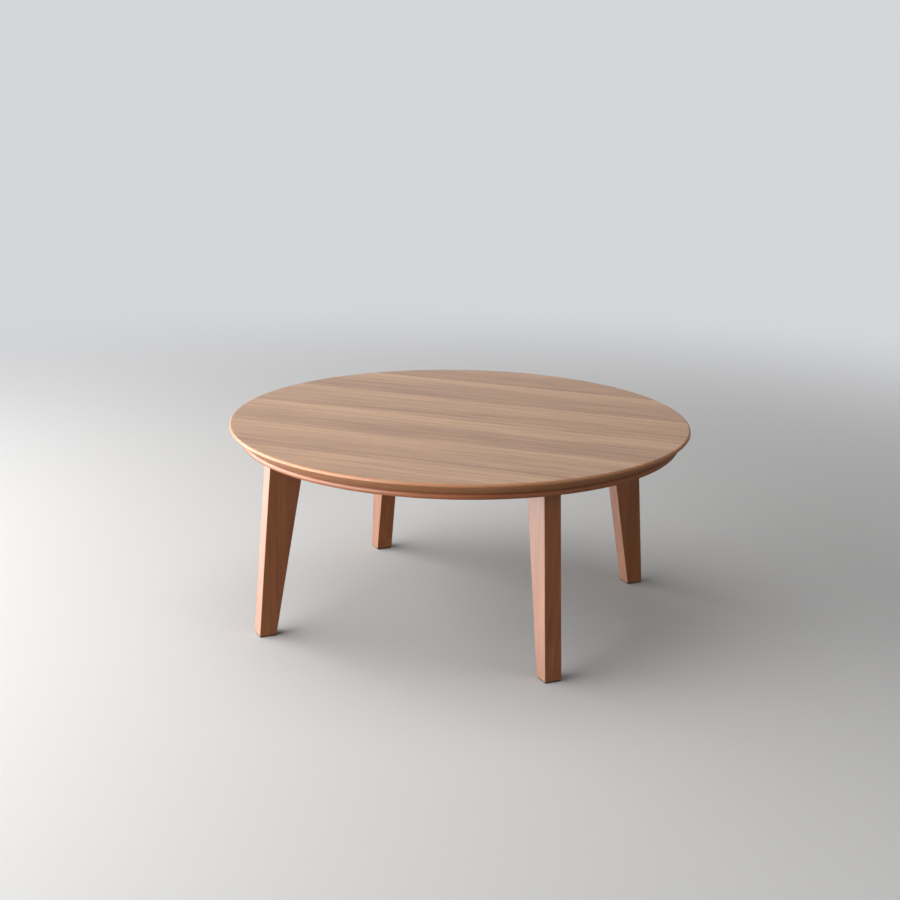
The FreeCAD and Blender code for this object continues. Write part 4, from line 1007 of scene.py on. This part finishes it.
class KOTATSU_OT_stage(bpy.types.Operator):
    """Set up the floor, the lamps and the camera"""
    bl_idname = "kotatsu.stage"
    bl_label = "Stage"

    def execute(self, context):
        scene = context.scene
        stage = scene.kotatsu_stage
        self.floor(stage)
        self.lamp(scene, "Window lamp", (-2.21, -1.22, 1.18), (5.8, 2.2), stage.window_power)
        self.lamp(scene, "Low lamp", (-2.0, -1.1, 0.2), (4.0, 0.36), stage.low_power)
        self.lamp(scene, "Top lamp", (-0.4, -0.1, 3.0), (2.8, 2.8), stage.top_power)
        fill = self.lamp(scene, "Fill lamp", (2.3, -0.6, 0.9), (1.6, 1.2), stage.fill_power)
        fill.visible_glossy = False
        self.room(scene, stage)
        camera = bpy.data.objects.new("Camera", bpy.data.cameras.new("Camera"))
        camera.location = stage.camera_place
        camera.rotation_euler = stage.camera_turn
        camera.data.lens = stage.lens
        camera.data.sensor_width = 36.0
        camera.data.clip_start = 0.05
        scene.collection.objects.link(camera)
        scene.camera = camera
        scene.view_settings.view_transform = "Standard"
        return {"FINISHED"}

    def room(self, scene, stage):
        """An even pale room, dimmer as a light than it looks."""
        world = bpy.data.worlds.new("Room")
        world.use_nodes = True
        tree = world.node_tree
        path = add_node(tree, "LightPath").outputs
        toward = add_node(tree, "TexCoord").outputs["Generated"]
        wall = fade(tree, vector_maths(tree, "DOT_PRODUCT", toward, stage.wall_side), 0.3, 0.95, stage.world,
                    stage.wall)
        glossy = maths(tree, "MULTIPLY", path["Is Glossy Ray"], maths(tree, "SUBTRACT", wall, stage.world))
        camera = maths(tree, "MULTIPLY", path["Is Camera Ray"], stage.surround - stage.world)
        light = maths(tree, "ADD", maths(tree, "ADD", glossy, camera), stage.world)
        put_all(tree, tree.nodes["Background"], {"Strength": light, "Color": ROOM})
        scene.world = world

    def floor(self, stage):
        """A pale floor that fades into the room and is clear from below."""
        material, tree, shader = new_material("Studio floor")
        floor = add_object(disc(96, stage.floor_radius), "Floor", material)
        seen = add_node(tree, "LightPath").outputs["Is Camera Ray"]
        put_all(tree, shader, {
            "Base Color": mix(tree, seen, stage.floor_shade, stage.floor), "Roughness": 0.8,
            "Specular IOR Level": 0.2, "Coat Weight": fade(tree, seen, 0.0, 1.0, stage.floor_shine, 0.0),
            "Coat Roughness": 0.25, "Coat IOR": 2.4})
        far = fade(tree, vector_maths(tree, "LENGTH", object_place(tree)), stage.fade_start, stage.fade_end,
                   interpolation_type="SMOOTHSTEP")
        glow = add_node(tree, "Emission", {"Strength": stage.surround, "Color": ROOM})
        spread = add_node(tree, "MixShader", {
            0: maths(tree, "MULTIPLY", far, seen), 1: shader.outputs[0], 2: glow.outputs[0]})
        below = add_node(tree, "NewGeometry").outputs["Backfacing"]
        clear = add_node(tree, "BsdfTransparent")
        either = add_node(tree, "MixShader", {
            0: maths(tree, "MULTIPLY", below, seen), 1: spread.outputs[0], 2: clear.outputs[0]})
        put(tree, tree.nodes["Material Output"].inputs["Surface"], either.outputs[0])

    def lamp(self, scene, name, place, size, power):
        """A flat lamp that faces the top."""
        data = bpy.data.lights.new(name, "AREA")
        data.shape = "RECTANGLE"
        data.size, data.size_y = size
        data.energy = power
        lamp = bpy.data.objects.new(name, data)
        lamp.location = place
        lamp.rotation_euler = (AIM - lamp.location).to_track_quat("-Z", "Y").to_euler()
        scene.collection.objects.link(lamp)
        return lamp


class KOTATSU_PT_panel(bpy.types.Panel):
    """Lists the pieces of the table"""
    bl_idname = "KOTATSU_PT_panel"
    bl_label = "Kotatsu table"
    bl_space_type = "VIEW_3D"
    bl_region_type = "UI"
    bl_category = "Kotatsu"

    def draw(self, context):
        for operator in OPERATORS:
            self.layout.operator(operator.bl_idname)


SETTINGS = {"kotatsu_top": TopSettings, "kotatsu_frame": FrameSettings, "kotatsu_legs": LegSettings,
            "kotatsu_heater": HeaterSettings, "kotatsu_stage": StageSettings}
OPERATORS = (KOTATSU_OT_top_face, KOTATSU_OT_top_edge, KOTATSU_OT_top_board, KOTATSU_OT_frame_ring,
             KOTATSU_OT_frame_boards, KOTATSU_OT_rails, KOTATSU_OT_bumpers, KOTATSU_OT_legs,
             KOTATSU_OT_foot_pads, KOTATSU_OT_screws, KOTATSU_OT_leg_bolts, KOTATSU_OT_heater_case,
             KOTATSU_OT_heater_guard, KOTATSU_OT_heating_parts, KOTATSU_OT_fan, KOTATSU_OT_wiring,
             KOTATSU_OT_stage)
CLASSES = (*SETTINGS.values(), *OPERATORS, KOTATSU_PT_panel)


def register():
    for each in CLASSES:
        bpy.utils.register_class(each)
    for name, group in SETTINGS.items():
        setattr(bpy.types.Scene, name, PointerProperty(type=group))


def unregister():
    for name in SETTINGS:
        delattr(bpy.types.Scene, name)
    for each in reversed(CLASSES):
        bpy.utils.unregister_class(each)


def main():
    register()
    for operator in OPERATORS:
        getattr(bpy.ops.kotatsu, operator.bl_idname.split(".")[1])()


if __name__ == "__main__":
    main()
